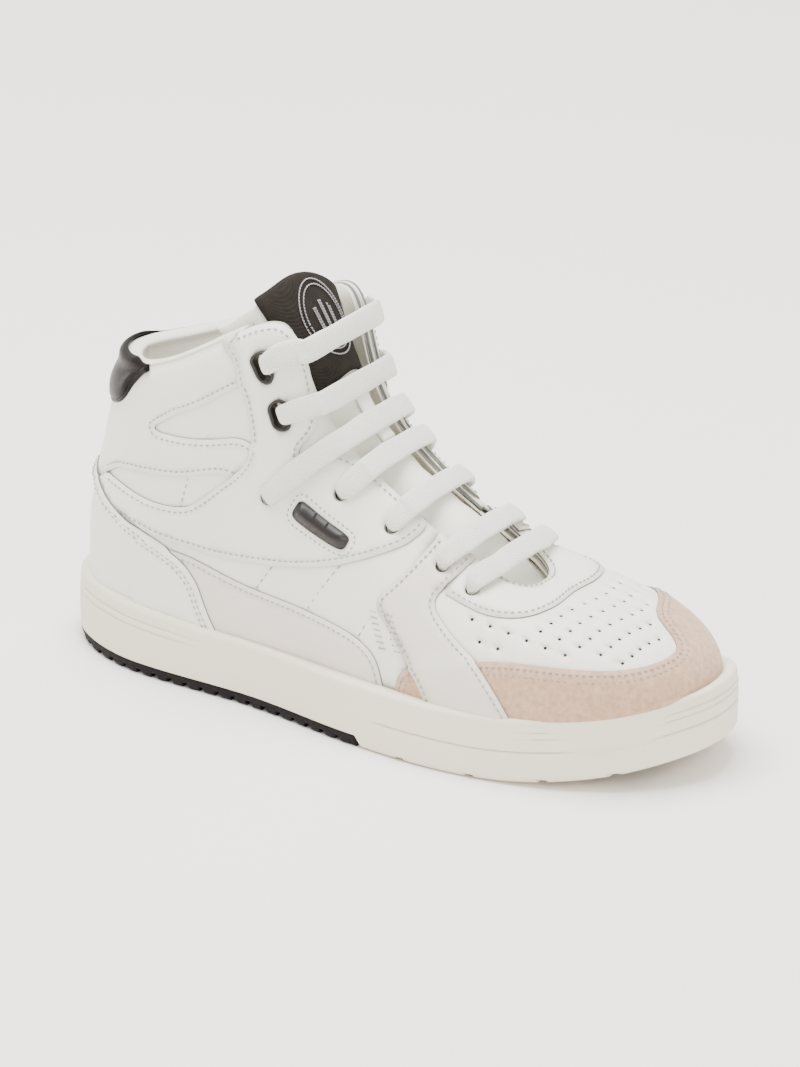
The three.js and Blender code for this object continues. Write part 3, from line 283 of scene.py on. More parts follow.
# ---------------------------------------------------------------- meshes
def make_object(name, points, faces, materials, face_slots=None, uvs=None, flat=False):
    mesh = bpy.data.meshes.new(name)
    mesh.from_pydata((np.asarray(points) * MM).tolist(), [], [list(map(int, f)) for f in faces])
    for material in materials:
        mesh.materials.append(material)
    if face_slots is not None:
        mesh.polygons.foreach_set("material_index", np.asarray(face_slots, np.int32))
    if uvs is not None:
        layer = mesh.uv_layers.new(name="along")
        corners = np.zeros(len(mesh.loops), np.int32)
        mesh.loops.foreach_get("vertex_index", corners)
        layer.data.foreach_set("uv", np.asarray(uvs, float)[corners].ravel())
    mesh.polygons.foreach_set("use_smooth", [not flat] * len(mesh.polygons))
    mesh.update()
    thing = bpy.data.objects.new(name, mesh)
    bpy.context.scene.collection.objects.link(thing)
    return thing


def declare(thing, body, nodes=()):
    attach(thing, body)
    if nodes:
        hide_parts(*nodes)
    return thing


def grid_faces(rows, columns, wrap_columns=False, wrap_rows=False, start=0):
    faces = []
    for r in range(rows if wrap_rows else rows - 1):
        for c in range(columns if wrap_columns else columns - 1):
            a = r * columns + c
            b = r * columns + (c + 1) % columns
            low = ((r + 1) % rows) * columns
            faces.append((start + a, start + b, start + low + (c + 1) % columns,
                          start + low + c))
    return faces


def swept(sections, caps=True, closed_path=False):
    """Skin over equal closed sections; returns points and faces that face outward."""
    sections = np.asarray(sections)
    rows, columns = sections.shape[:2]
    faces = grid_faces(rows, columns, True, closed_path)
    if caps and not closed_path:
        faces.append(tuple(range(columns))[::-1])
        faces.append(tuple((rows - 1) * columns + np.arange(columns)))
    points = sections.reshape(-1, 3)
    return points, facing_out(points, faces)


def facing_out(points, faces):
    """The faces, all turned if the closed skin they make is inside out."""
    volume = 0.0
    for size in {len(face) for face in faces}:
        group = np.array([face for face in faces if len(face) == size])
        for k in range(1, size - 1):
            a, b, c = points[group[:, 0]], points[group[:, k]], points[group[:, k + 1]]
            volume += (a * np.cross(b, c)).sum()
    return faces if volume > 0 else [tuple(face)[::-1] for face in faces]


# ---------------------------------------------------------------- materials
def node(tree, kind, **settings):
    item = tree.nodes.new(kind)
    for key, value in settings.items():
        if key in item.inputs:
            item.inputs[key].default_value = value
        else:
            setattr(item, key, value)
    return item


def start_material(name, color, roughness, **extra):
    material = bpy.data.materials.new(name)
    material.use_nodes = True
    tree = material.node_tree
    shader = tree.nodes["Principled BSDF"]
    shader.inputs["Base Color"].default_value = (*color, 1)
    shader.inputs["Roughness"].default_value = roughness
    for key, value in extra.items():
        shader.inputs[key.replace("_", " ")].default_value = value
    return material, tree, shader


def colour_variation(tree, shader, color, other, scale, detail=4.0):
    """Soft blotches between two colours."""
    where = node(tree, "ShaderNodeTexCoord")
    noise = node(tree, "ShaderNodeTexNoise", Scale=scale, Detail=detail, Roughness=0.6)
    ramp = node(tree, "ShaderNodeValToRGB")
    ramp.color_ramp.elements[0].position = 0.32
    ramp.color_ramp.elements[1].position = 0.72
    ramp.color_ramp.elements[0].color = (*other, 1)
    ramp.color_ramp.elements[1].color = (*color, 1)
    tree.links.new(where.outputs["Object"], noise.inputs["Vector"])
    tree.links.new(noise.outputs["Fac"], ramp.inputs["Fac"])
    tree.links.new(ramp.outputs["Color"], shader.inputs["Base Color"])
    return where


def roughness_variation(tree, where, shader, low, high, scale):
    noise = node(tree, "ShaderNodeTexNoise", Scale=scale, Detail=3.0)
    span = node(tree, "ShaderNodeMapRange")
    span.inputs["To Min"].default_value = low
    span.inputs["To Max"].default_value = high
    tree.links.new(where.outputs["Object"], noise.inputs["Vector"])
    tree.links.new(noise.outputs["Fac"], span.inputs["Value"])
    tree.links.new(span.outputs["Result"], shader.inputs["Roughness"])


def bump_chain(tree, shader, heights):
    """Stacks bumps: each entry is (output socket, strength, distance in metres)."""
    last = None
    for output, strength, distance in heights:
        bump = node(tree, "ShaderNodeBump", Strength=strength, Distance=distance)
        tree.links.new(output, bump.inputs["Height"])
        if last:
            tree.links.new(last.outputs["Normal"], bump.inputs["Normal"])
        last = bump
    tree.links.new(last.outputs["Normal"], shader.inputs["Normal"])


def leather(name, color, other, roughness=(0.4, 0.55), grain=1500, depth=0.00012, coat=0.05,
            shine=0.4):
    material, tree, shader = start_material(name, color, roughness[0], Coat_Weight=coat,
                                            Coat_Roughness=0.35, Specular_IOR_Level=shine)
    where = colour_variation(tree, shader, color, other, 38)
    roughness_variation(tree, where, shader, roughness[0], roughness[1], 60)
    cells = node(tree, "ShaderNodeTexVoronoi", Scale=grain, feature="DISTANCE_TO_EDGE")
    warp = node(tree, "ShaderNodeTexNoise", Scale=700.0, Detail=2.0)
    folds = node(tree, "ShaderNodeTexNoise", Scale=110.0, Detail=5.0, Roughness=0.62)
    mix = node(tree, "ShaderNodeMixRGB", Fac=0.012)
    tree.links.new(where.outputs["Object"], warp.inputs["Vector"])
    tree.links.new(where.outputs["Object"], folds.inputs["Vector"])
    tree.links.new(where.outputs["Object"], mix.inputs["Color1"])
    tree.links.new(warp.outputs["Color"], mix.inputs["Color2"])
    tree.links.new(mix.outputs["Color"], cells.inputs["Vector"])
    bump_chain(tree, shader, [(folds.outputs["Fac"], 0.35, 0.0006),
                              (cells.outputs["Distance"], 0.5, depth)])
    return material


def suede(name, color, other):
    """Napped leather: fine fibres over small clumps."""
    material, tree, shader = start_material(name, color, 0.95, Sheen_Weight=0.35,
                                            Sheen_Roughness=0.5, Specular_IOR_Level=0.15)
    where = colour_variation(tree, shader, color, other, 420, 8.0)
    nap = node(tree, "ShaderNodeTexNoise", Scale=1500.0, Detail=6.0, Roughness=0.75)
    clumps = node(tree, "ShaderNodeTexNoise", Scale=330.0, Detail=4.0, Roughness=0.65)
    tree.links.new(where.outputs["Object"], nap.inputs["Vector"])
    tree.links.new(where.outputs["Object"], clumps.inputs["Vector"])
    bump_chain(tree, shader, [(clumps.outputs["Fac"], 0.7, 0.0005), (nap.outputs["Fac"], 0.8, 0.0004)])
    return material


def rubber(name, color, other, roughness=0.55, grit=900.0, strength=0.25, shine=0.35):
    material, tree, shader = start_material(name, color, roughness, Specular_IOR_Level=shine)
    where = colour_variation(tree, shader, color, other, 24, 5.0)
    roughness_variation(tree, where, shader, roughness - 0.08, roughness + 0.12, 90)
    grain = node(tree, "ShaderNodeTexNoise", Scale=grit, Detail=4.0)
    tree.links.new(where.outputs["Object"], grain.inputs["Vector"])
    bump_chain(tree, shader, [(grain.outputs["Fac"], strength, 0.0002)])
    return material


def cloth(name, color, other, pitch, depth=0.0003, use_uv=False, sheen=0.2):
    """Plain weave: two crossed waves, in UV millimetres or in object space."""
    material, tree, shader = start_material(name, color, 0.9, Sheen_Weight=sheen,
                                            Specular_IOR_Level=0.2)
    where = colour_variation(tree, shader, color, other, 260, 6.0)
    source = where.outputs["UV"] if use_uv else where.outputs["Object"]
    first = node(tree, "ShaderNodeTexWave", Scale=pitch, Distortion=0.6, Detail=1.0,
                 bands_direction="DIAGONAL")
    turned = node(tree, "ShaderNodeMapping")
    turned.inputs["Scale"].default_value = (1, -1, 1)
    second = node(tree, "ShaderNodeTexWave", Scale=pitch, Distortion=0.6, Detail=1.0,
                  bands_direction="DIAGONAL")
    fuzz = node(tree, "ShaderNodeTexNoise", Scale=2200.0, Detail=3.0)
    both = node(tree, "ShaderNodeMath", operation="MAXIMUM")
    tree.links.new(source, first.inputs["Vector"])
    tree.links.new(source, turned.inputs["Vector"])
    tree.links.new(turned.outputs["Vector"], second.inputs["Vector"])
    tree.links.new(where.outputs["Object"], fuzz.inputs["Vector"])
    tree.links.new(first.outputs["Fac"], both.inputs[0])
    tree.links.new(second.outputs["Fac"], both.inputs[1])
    bump_chain(tree, shader, [(both.outputs["Value"], 0.8, depth),
                              (fuzz.outputs["Fac"], 0.5, 0.0002)])
    return material


def glossy(name, color, roughness, metallic, coat):
    """Painted metal with a faint unevenness."""
    material, tree, shader = start_material(name, color, roughness, Metallic=metallic,
                                            Coat_Weight=coat, Coat_Roughness=0.08)
    where = node(tree, "ShaderNodeTexCoord")
    roughness_variation(tree, where, shader, roughness, roughness + 0.15, 120)
    wave = node(tree, "ShaderNodeTexNoise", Scale=260.0, Detail=4.0)
    tree.links.new(where.outputs["Object"], wave.inputs["Vector"])
    bump_chain(tree, shader, [(wave.outputs["Fac"], 0.1, 0.0003)])
    return material


WHITE = leather("white_leather", (0.875, 0.86, 0.77), (0.845, 0.825, 0.735))
SOFT_WHITE = leather("soft_tongue_leather", (0.875, 0.86, 0.76), (0.845, 0.825, 0.72),
                     roughness=(0.5, 0.62), grain=1300, depth=0.00016)
CREAM_LEATHER = leather("off_white_leather", (0.76, 0.70, 0.63), (0.73, 0.67, 0.60))
# Dark grey for cut edges and a strip along them: partly the leather's own edge colour, darkened and
# widened as painted shade of the gap under each panel edge
EDGE_AND_PAINTED_SHADE = leather("cut_edge_and_painted_shade", (0.18, 0.18, 0.175), (0.14, 0.14, 0.135), roughness=(0.7, 0.85))
SUEDE = suede("beige_suede", (0.65, 0.43, 0.285), (0.46, 0.29, 0.18))
PATENT = leather("black_patent_leather", (0.010, 0.007, 0.006), (0.007, 0.005, 0.004),
                 roughness=(0.26, 0.36), grain=900, depth=0.00012, coat=0.0, shine=0.07)
LINING = cloth("cream_lining", (0.88, 0.85, 0.74), (0.85, 0.81, 0.70), 900.0, 0.00015)
SOLE = rubber("cup_sole_rubber", (0.79, 0.73, 0.605), (0.76, 0.70, 0.57))
OUTSOLE = rubber("black_heel_rubber", (0.011, 0.009, 0.0095), (0.008, 0.006, 0.007), 0.6,
                 shine=0.12)
BLACK_METAL = glossy("gloss_black_metal", (0.009, 0.006, 0.005), 0.34, 0.12, coat=0.05)
LACE = cloth("braided_lace", (0.95, 0.935, 0.855), (0.92, 0.90, 0.82), 0.42, 0.0006, True, 0.2)
LABEL = cloth("woven_label", (0.027, 0.022, 0.018), (0.018, 0.015, 0.012), 1000.0, 0.0003,
              sheen=0.0)
THREAD = cloth("pale_thread", (0.50, 0.49, 0.46), (0.42, 0.41, 0.38), 1800.0, 0.0002)
MOTIF = cloth("embroidery_thread", (0.52, 0.50, 0.50), (0.42, 0.41, 0.41), 1600.0, 0.0003)
FOAM = rubber("open_foam", (0.70, 0.68, 0.62), (0.62, 0.60, 0.54), 0.9, 500.0, 0.9)
BOARD = rubber("fibre_board", (0.52, 0.47, 0.37), (0.44, 0.39, 0.30), 0.9, 700.0, 0.6)


# ---------------------------------------------------------------- panel outlines in (u, t)
FOOT_EDGE = -0.06
EYESTAY_REAR = [(10.97, 1), (10.86, 0.95), (10.64, 0.865), (10.48, 0.785), (10.06, 0.68),
                (9.7, 0.614), (9.58, 0.58), (9.6, 0.537), (9.75, 0.493)]
WINDOW_FLOOR = [(9.75, 0.493), (10.09, 0.427), (10.34, 0.392), (10.57, 0.383), (11.03, 0.396),
                (11.61, 0.427), (12.27, 0.472), (12.74, 0.495)]
SWOOP = [(13.2, 0.42), (12.2, 0.345), (11.47, 0.309), (10.57, 0.266), (9.68, 0.257),
         (8.86, 0.288), (7.97, 0.341), (7.42, 0.388), (6.91, 0.45), (6.43, 0.531),
         (5.98, 0.632), (5.55, 0.762), (5.33, 0.887), (5.30, 0.96)]
SWOOP_NOSE = [(5.30, 0.96), (5.36, 0.995), (5.5, 1.0)]
LOW_THROAT = [(5.5, 1.0), (6.3, 1.0), (7.0, 0.985), (7.45, 0.945), (7.75, 0.9), (7.98, 0.83),
              (8.15, 0.76)]
FLAP_FRONT = [(8.15, 0.76), (8.45, 0.735), (8.58, 0.765), (8.5, 0.82), (8.46, 0.88),
              (8.52, 0.925), (8.75, 0.955), (9.1, 0.985), (9.4, 1.0)]
TOP_RIM = [(9.4, 1.0), (10.0, 1.0), (10.5, 1.0), (10.87, 1.0)]
COUNTER_HALF = [(8.94, 0.0), (9.12, 0.052), (9.28, 0.094), (9.54, 0.152), (9.91, 0.196),
                (10.41, 0.232), (10.9, 0.267), (11.52, 0.31), (12.26, 0.374), (12.87, 0.433),
                (13.4, 0.472), (14, 0.484)]
FOXING_TOP = [(11.3, 0.262), (10.99, 0.262), (10.51, 0.238), (9.78, 0.225), (9.05, 0.219),
              (8.24, 0.218), (7.08, 0.226), (6.23, 0.212), (5.8, 0.176), (5.59, 0.126),
              (5.48, 0.054), (5.38, FOOT_EDGE)]
STRIPE_REAR = [(4.95, 1.0), (5.0, 0.9), (5.15, 0.751), (5.45, 0.56), (5.68, 0.45), (5.69, 0.39),
               (5.53, 0.338), (5.3, 0.277), (5.01, 0.171), (4.76, 0.064), (4.62, FOOT_EDGE)]
STRIPE_FRONT = [(3.3, FOOT_EDGE), (3.42, 0.03), (3.62, 0.181), (3.82, 0.302), (4.02, 0.36),
                (4.32, 0.443), (4.55, 0.52), (4.58, 0.585), (4.45, 0.665), (4.18, 0.795),
                (4.0, 0.93), (3.98, 1.0)]
CRESCENT_HALF = [(0, 0.888), (0.56, 0.874), (1.1, 0.84), (1.54, 0.802), (1.9, 0.764),
                 (2.3, 0.722), (2.7, 0.683), (3.15, 0.645), (3.6, 0.626), (4.4, 0.64)]
TOE_CAP_HALF = [(0.6, 0.344), (1.05, 0.338), (1.53, 0.344), (2.05, 0.357),
                (2.52, 0.362), (3.03, 0.353), (3.54, 0.326), (4.2, 0.262), (4.7, 0.21),
                (4.95, 0.155), (5.16, 0.086), (5.25, FOOT_EDGE)]
TOE_CAP_INNER = [(-5.25, FOOT_EDGE), (-5.16, 0.086), (-4.95, 0.154), (-4.2, 0.27), (-3.5, 0.36),
                 (-2.6, 0.46), (-1.8, 0.54), (-1.1, 0.59), (-0.62, 0.6), (-0.3, 0.572),
                 (-0.11, 0.51), (0.03, 0.435), (0.22, 0.37)]
HEEL_TAB_HALF = [(12.3, 0.985), (12.46, 0.965), (12.64, 0.918), (12.77, 0.862), (12.92, 0.828),
                 (13.15, 0.805), (13.5, 0.782), (14, 0.772)]
HEEL_TAB_INNER = [(12.72, 0.985), (12.8, 0.96), (12.88, 0.92), (12.96, 0.865), (13.08, 0.825),
                  (13.3, 0.8), (13.6, 0.779)]

LACE_ROWS = [(10.13, 0.838), (9.36, 0.751), (8.76, 0.531), (7.2, 0.777), (5.92, 0.815),
             (4.6, 0.801), (3.77, 0.763)]
ROW_TOP_U = [9.44, 8.56, 7.65, 6.87, 5.75, 4.39, 3.3]
METAL_ROWS = 2
EYELET_DIRECTIONS = [(0.33, 0.086), (0.49, 0.033)]
EYELET_HALF_LENGTH = 6.4
EYELET_HALF_WIDTH = 3.8
HOLE_RADIUS = 2.9
BADGE_PLACE = (7.3, 0.598)
BADGE_DIRECTION = (-1.235, 0.004)
BADGE_HALF_SIZE = (3.9, 13.6)


def mirror(path):
    return [(-u, t) for u, t in path][::-1]


def around_heel(path):
    return [(LOOP - u, t) for u, t in path][::-1]


def ring_of(*runs, spacing=1.7):
    """Joins smooth runs that meet at corners into one closed outline."""
    whole = []
    for run in runs:
        curve = catmull(run, 8) if len(run) > 2 else np.linspace(run[0], run[1], 12)
        whole.append(resampled(curve, spacing)[:-1])
    return left_turning(np.vstack(whole))


def oval(u, t, wide, long=None, direction=(1, 0), count=20):
    """A closed oval on the surface round (u, t)."""
    long = wide if long is None else long
    angle = (np.arange(count) + 0.5) / count * 2 * math.pi
    reach = np.sign(np.cos(angle)) * (long - wide) + wide * np.cos(angle)
    return laid_on_surface(u, t, direction, reach, wide * np.sin(angle))


def laid_on_surface(u, t, direction, reach, side):
    """The (u, t) of points given in millimetres along and across a direction at (u, t)."""
    along_u, along_t, normal = (a[0] for a in tangents(np.array([u]), np.array([t])))
    along = unit(along_u * direction[0] + along_t * direction[1])
    across = np.cross(along, normal)
    world = along * reach[:, None] + across * side[:, None]
    count = (len(reach), 1)
    return np.array([u, t]) + surface_step(np.tile(along_u, count), np.tile(along_t, count), world)


# ---------------------------------------------------------------- panel maker
EDGE_LOOPS = (0.5, 0.95, 1.5, 2.2, 3.0)     # rings of points inside the edge, in millimetres
EDGE_ROLL = 0.7
EDGE_SHADE_STRIP = 0.38                 # width of the dark strip along a cut edge: partly the leather's dark edge colour, partly painted shade of the gap under the edge
PLANE_SCALE = (22.0, 95.0)      # brings (u, t) near to millimetres for the triangulation


class Panel:
    """One leather panel: its outline, what it lies over, and its height over the last."""

    def __init__(self, ring, thickness=PANEL_THICKNESS, over=(), holes=(), base=0.0,
                 grooves=(2.1,), dents=(), puff=None):
        self.ring = left_turning(np.asarray(ring))
        self.line = surface(self.ring[:, 0], self.ring[:, 1])
        self.thickness = thickness
        self.over = over
        self.base = base
        self.grooves = grooves
        self.dents = [surface(d[:, 0], d[:, 1]) for d in dents]
        self.holes = [np.asarray(hole) for hole in holes]
        self.puff = puff

    def floor(self, places):
        """Height of what lies under the panel; a panel on the base follows its padding."""
        points = surface(places[:, 0], places[:, 1])
        height = np.full(len(places), self.base)
        if self.base == 0:
            height += swell(places)
        for other in self.over:
            near = distance_to(points, other.line)
            signed = np.where(inside_of(places, other.ring), near, -near)
            lift = other.floor(places) + other.thickness
            height = np.maximum(height, lift * smooth((signed + 1.6) / 2.4))
        return height

    def top(self, places):
        """Height of the panel's face, with rolled edges, stitch grooves and dents."""
        points = surface(places[:, 0], places[:, 1])
        edge = distance_to(points, self.line)
        for hole in self.holes:
            edge = np.minimum(edge, distance_to(points, surface(hole[:, 0], hole[:, 1])) * 1.6)
        bend = np.sqrt(np.clip(1 - (1 - np.clip(edge / EDGE_ROLL, 0, 1)) ** 2, 0, 1))
        height = self.floor(places) + self.thickness * (0.4 + 0.6 * bend)
        for inset in self.grooves:
            height -= 0.22 * np.exp(-((edge - inset) / 0.6) ** 2)
        for line in self.dents:
            near = distance_to(points, line, closed=False)
            height -= 0.6 * np.exp(-(near / 1.7) ** 2)
        if self.puff:
            height += self.puff(places)
        return height

    def inner_points(self, spacing):
        low, high = self.ring.min(0), self.ring.max(0)
        us = np.arange(low[0], high[0], spacing / PLANE_SCALE[0])
        ts = np.arange(low[1], high[1], spacing / PLANE_SCALE[1])
        places = np.array([(u + (k % 2) * 0.5 * spacing / PLANE_SCALE[0], t)
                           for k, t in enumerate(ts) for u in us])
        places = places[inside_of(places, self.ring)]
        points = surface(places[:, 0], places[:, 1])
        keep = distance_to(points, self.line) > EDGE_LOOPS[-1] + 0.6
        for hole in self.holes:
            near = distance_to(points, surface(hole[:, 0], hole[:, 1]))
            keep &= (near > 0.7) & ~inside_of(places, hole)
        return places[keep]

    def mesh(self, spacing):
        loops = [self.ring] + self.holes
        edges, start = [], 0
        for loop in loops:
            count = len(loop)
            edges += [(start + k, start + (k + 1) % count) for k in range(count)]
            start += count
        bands = [self.band(depth) for depth in EDGE_LOOPS]
        places = np.vstack(loops + bands + [self.inner_points(spacing)])
        flat = places * PLANE_SCALE
        verts, _, tris, _, _, _ = delaunay_2d_cdt([Vector(p) for p in flat.tolist()], edges, [],
                                                  0, 1e-4)
        found = np.array([tuple(v) for v in verts]) / PLANE_SCALE
        tris = np.array([t for t in tris if len(t) == 3])
        middle = found[tris].mean(1)
        keep = inside_of(middle, self.ring)
        for hole in self.holes:
            keep &= ~inside_of(middle, hole)
        return found, tris[keep]

    def band(self, depth):
        """Points a set depth inside the outline, dropping those that crowd a corner."""
        moved = shifted(self.ring, -depth, closed=True)
        moved = moved[inside_of(moved, self.ring)]
        near = distance_to(surface(moved[:, 0], moved[:, 1]), self.line)
        return moved[near > depth * 0.93]

    def build(self, name, materials, spacing=3.0):
        places, tris = self.mesh(spacing)
        used = np.unique(tris)
        remap = np.full(len(places), -1)
        remap[used] = np.arange(len(used))
        places, tris = places[used], remap[tris]
        count = len(places)
        u, t = places[:, 0], places[:, 1]
        upper = lifted(u, t, self.top(places))
        lower = lifted(u, t, self.floor(places) - 0.25)
        flat = places * PLANE_SCALE
        a, b, c = flat[tris[:, 0]], flat[tris[:, 1]], flat[tris[:, 2]]
        turn = (b - a)[:, 0] * (c - a)[:, 1] - (b - a)[:, 1] * (c - a)[:, 0]
        tris = np.where((turn > 0)[:, None], tris, tris[:, ::-1])
        edges = {(int(x), int(y)) for tri in tris for x, y in zip(tri, np.roll(tri, -1))}
        rim = [(x, y) for x, y in edges if (y, x) not in edges]
        faces = [tuple(tri) for tri in tris] + [tuple(tri[::-1] + count) for tri in tris]
        middle = surface(u, t)[tris].mean(1)
        # Top faces near the outline take the dark edge material: partly the real edge colour, partly
        # painted shade under the edge
        cut = (distance_to(middle, self.line) < EDGE_SHADE_STRIP) * (len(materials) - 1)
        slots = list(cut) + [0] * len(tris) + [len(materials) - 1] * len(rim)
        faces += [(y, x, x + count, y + count) for x, y in rim]
        points = np.vstack([upper, lower])
        first = tris[0]
        facing = np.cross(upper[first[1]] - upper[first[0]], upper[first[2]] - upper[first[0]])
        if np.dot(facing, tangents(u[first[:1]], t[first[:1]])[2][0]) < 0:
            faces = [tuple(face)[::-1] for face in faces]
        return make_object(name, points, faces, materials, slots)


# ---------------------------------------------------------------- stitches
class Thread:
    """Collects stitches of one colour on one body into a single mesh."""

    def __init__(self):
        self.points, self.faces = [], []

    def add(self, centres, forward, normal, length):
        """Adds one small rounded stitch at each centre."""
        side = np.cross(normal, forward)
        profile = [(-0.5, 0.35, -0.45), (-0.34, 0.85, -0.02), (0.0, 1.0, 0.08),
                   (0.34, 0.85, -0.02), (0.5, 0.35, -0.45)]
        angles = np.arange(6) / 6 * 2 * math.pi
        for c, f, n, s in zip(centres, forward, normal, side):
            start = len(self.points)
            for along, size, rise in profile:
                for angle in angles:
                    self.points.append(c + f * along * length + n * rise
                                       + s * math.cos(angle) * STITCH_HALF_WIDTH * size
                                       + n * math.sin(angle) * STITCH_HALF_WIDTH * 0.8 * size)
            faces = grid_faces(len(profile), 6, True, start=start)
            self.faces += faces
            self.faces.append(tuple(start + k for k in range(6))[::-1])
            self.faces.append(tuple(start + 24 + k for k in range(6)))

    def along(self, path, panel=None, height=0.0, pitch=STITCH_PITCH, length=STITCH_LENGTH):
        """A row of stitches on a (u, t) path, on a panel's face or at a height."""
        places = resampled(path, pitch)
        centre_places = (places[1:] + places[:-1]) / 2
        lift = panel.top(centre_places) if panel else np.full(len(centre_places), height)
        centres = lifted(centre_places[:, 0], centre_places[:, 1], lift + 0.12)
        before = surface(places[:-1, 0], places[:-1, 1])
        after = surface(places[1:, 0], places[1:, 1])
        normal = tangents(centre_places[:, 0], centre_places[:, 1])[2]
        forward = unit(after - before)
        normal = unit(normal - forward * (normal * forward).sum(1)[:, None])
        self.add(centres, forward, normal, length)

    def inside(self, run, panel, inset):
        """A row of stitches a set distance inside an edge of a panel."""
        curve = resampled(catmull(run, 8) if len(run) > 2 else np.array(run, float), 1.5)
        for sign in (1, -1):
            moved = shifted(curve, sign * inset)
            hits = inside_of(moved, panel.ring)
            if hits.mean() > 0.5:
                moved = moved[hits]
                far = distance_to(surface(moved[:, 0], moved[:, 1]), panel.line) > inset * 0.9
                self.along(moved[far], panel)
                return

    def build(self, name, body, slot, material=THREAD):
        points = np.array(self.points)
        thing = make_object(name, points, self.faces, [material])
        return declare(thing, body)


# ---------------------------------------------------------------- upper: base leather and lining
def side_flip(path, side):
    return path if side > 0 else mirror(path)


def flipped_ring(ring, side):
    return ring if side > 0 else left_turning(ring * np.array([-1, 1]))


def rectangle(u0, u1, t0, t1):
    return ring_of([(u0, t0), (u1, t0)], [(u1, t0), (u1, t1)], [(u1, t1), (u0, t1)],
                   [(u0, t1), (u0, t0)], spacing=2.2)


def lace_hole(row, side):
    """The hole of one lace row: a slot under a metal ring, or a round hole."""
    u, t = LACE_ROWS[row]
    if row < METAL_ROWS:
        direction = (side * EYELET_DIRECTIONS[row][0], EYELET_DIRECTIONS[row][1])
        return oval(side * u, t, EYELET_HALF_WIDTH - 0.6, EYELET_HALF_LENGTH - 0.6, direction, 28)
    return oval(side * u, t, HOLE_RADIUS)


def line(*points):
    return resampled(np.array(points, float), 1.2)


# rows of punched holes over the vamp: y, x of the first hole, number of holes
HOLE_ROWS = [(-41.8, 66, 3), (-37.3, 59.7, 6), (-32.2, 88.6, 5), (-26.2, 89.9, 6), (-19.5, 90.4, 5),
             (-12.4, 91.2, 5), (-5.2, 92.5, 5), (2.0, 93.6, 4), (9.2, 94, 4), (16.3, 93, 4),
             (23.2, 92, 4), (30.0, 90, 3), (37.3, 62, 6), (41.5, 66, 3)]


def perforations():
    """Small punched holes over the front of the vamp; the rows draw together toward the toe."""
    holes = []
    for across, first, count in HOLE_ROWS:
        for k in range(count):
            x = first + 8.5 * k
            taper = 1 - 0.22 * (max(x - 85, 0) / 38) ** 2
            holes.append(find_on_top(np.array([x, across * taper])))
    return holes


def find_on_top(spot):
    """The (u, t) of the surface point above a plan position."""
    us, ts = np.meshgrid(np.linspace(-6, 6, 121), np.linspace(0.05, 0.98, 94))
    points = surface(us.ravel(), ts.ravel())
    best = np.argmin(((points[:, :2] - spot) ** 2).sum(1))
    u, t = us.ravel()[best], ts.ravel()[best]
    for _ in range(8):
        along_u, along_t, _ = tangents(np.array([u]), np.array([t]))
        miss = spot - surface(np.array([u]), np.array([t]))[0, :2]
        matrix = np.array([[along_u[0, 0], along_t[0, 0]], [along_u[0, 1], along_t[0, 1]]])
        step = np.linalg.lstsq(matrix, miss, rcond=None)[0]
        u, t = u + step[0], t + step[1]
    return u, t


QUILTS = [
    line((8.01, 0.335), (8.24, 0.215)), line((6.61, 0.5), (7.06, 0.225)),
    line((5.78, 0.33), (5.98, 0.195)), line((11.0, 0.75), (10.68, 0.61)),
    line((10.74, 0.49), (10.62, 0.37)),
]


def swell(places):
    """Padded leather is fullest away from the seams."""
    u = np.abs(np.mod(places[:, 0] + HALF_LOOP, LOOP) - HALF_LOOP)
    t = places[:, 1]
    return 0.9 * smooth((u - 5.2) / 1.2) * smooth((t - 0.1) / 0.2) * smooth((0.98 - t) / 0.12)


def is_clear(hole, panel, gap):
    """Whether a hole lies outside a panel, by more than a gap in millimetres."""
    middle = surface(hole[:, 0], hole[:, 1]).mean(0)[None]
    outside = not inside_of(hole.mean(0)[None], panel.ring)[0]
    return outside and distance_to(middle, panel.line)[0] > gap


def build_base():
    """Vamp with its punched holes, and the two padded quarters behind it."""
    punched = [oval(u, t, 0.72, count=8) for u, t in perforations()]
    punched = [hole for hole in punched if is_clear(hole, TOE_CAP, 2.6) and is_clear(hole, CRESCENT, 3.4)]
    laces = [lace_hole(row, side) for row in (5, 6) for side in (1, -1)]
    laces = [hole for hole in laces if np.abs(hole[:, 0]).max() < 4.9]
    vamp = Panel(rectangle(-5, 5, FOOT_EDGE, 1), 1.3, base=-1.3, grooves=(),
                 holes=punched + laces)
    thing = vamp.build("vamp_leather", [WHITE, EDGE_AND_PAINTED_SHADE], 3.4)
    declare(thing, "shoe", ["vamp"])
    for side, word in SIDES:
        ring = flipped_ring(rectangle(5.0, 14.0, FOOT_EDGE, 1), side)
        holes = [lace_hole(row, side) for row in range(5)]
        dents = [q * np.array([side, 1]) for q in QUILTS]
        quarter = Panel(ring, 2.6, base=-2.6, grooves=(), holes=holes, dents=dents, puff=swell)
        thing = quarter.build(f"quarter_{word}_leather", [WHITE, EDGE_AND_PAINTED_SHADE], 3.4)
        declare(thing, "shoe", [f"quarter_{word}", f"quarter_foam_{word}"])
        for dent in dents:
            SEAMS.along(dent, quarter, pitch=3.6, length=2.5)
        lining = Panel(flipped_ring(rectangle(5.0, 10.75, FOOT_EDGE, 1), side), 1.1, base=-4.0,
                       grooves=(), holes=holes)
        thing = lining.build(f"side_lining_{word}_cloth", [LINING], 5)
        declare(thing, "shoe", [f"side_lining_{word}"])


# ---------------------------------------------------------------- upper: overlays
def overlay(name, ring, over=(), slot_name="white_leather", look=WHITE, nodes=(), **extra):
    panel = Panel(ring, over=over, **extra)
    thing = panel.build(name, [look, EDGE_AND_PAINTED_SHADE])
    declare(thing, "shoe", nodes)
    return panel


def mirrored_runs(runs, fold):
    """The runs and their mirror images, in order round the outline."""
    return list(runs) + [fold(run) for run in reversed(runs)]


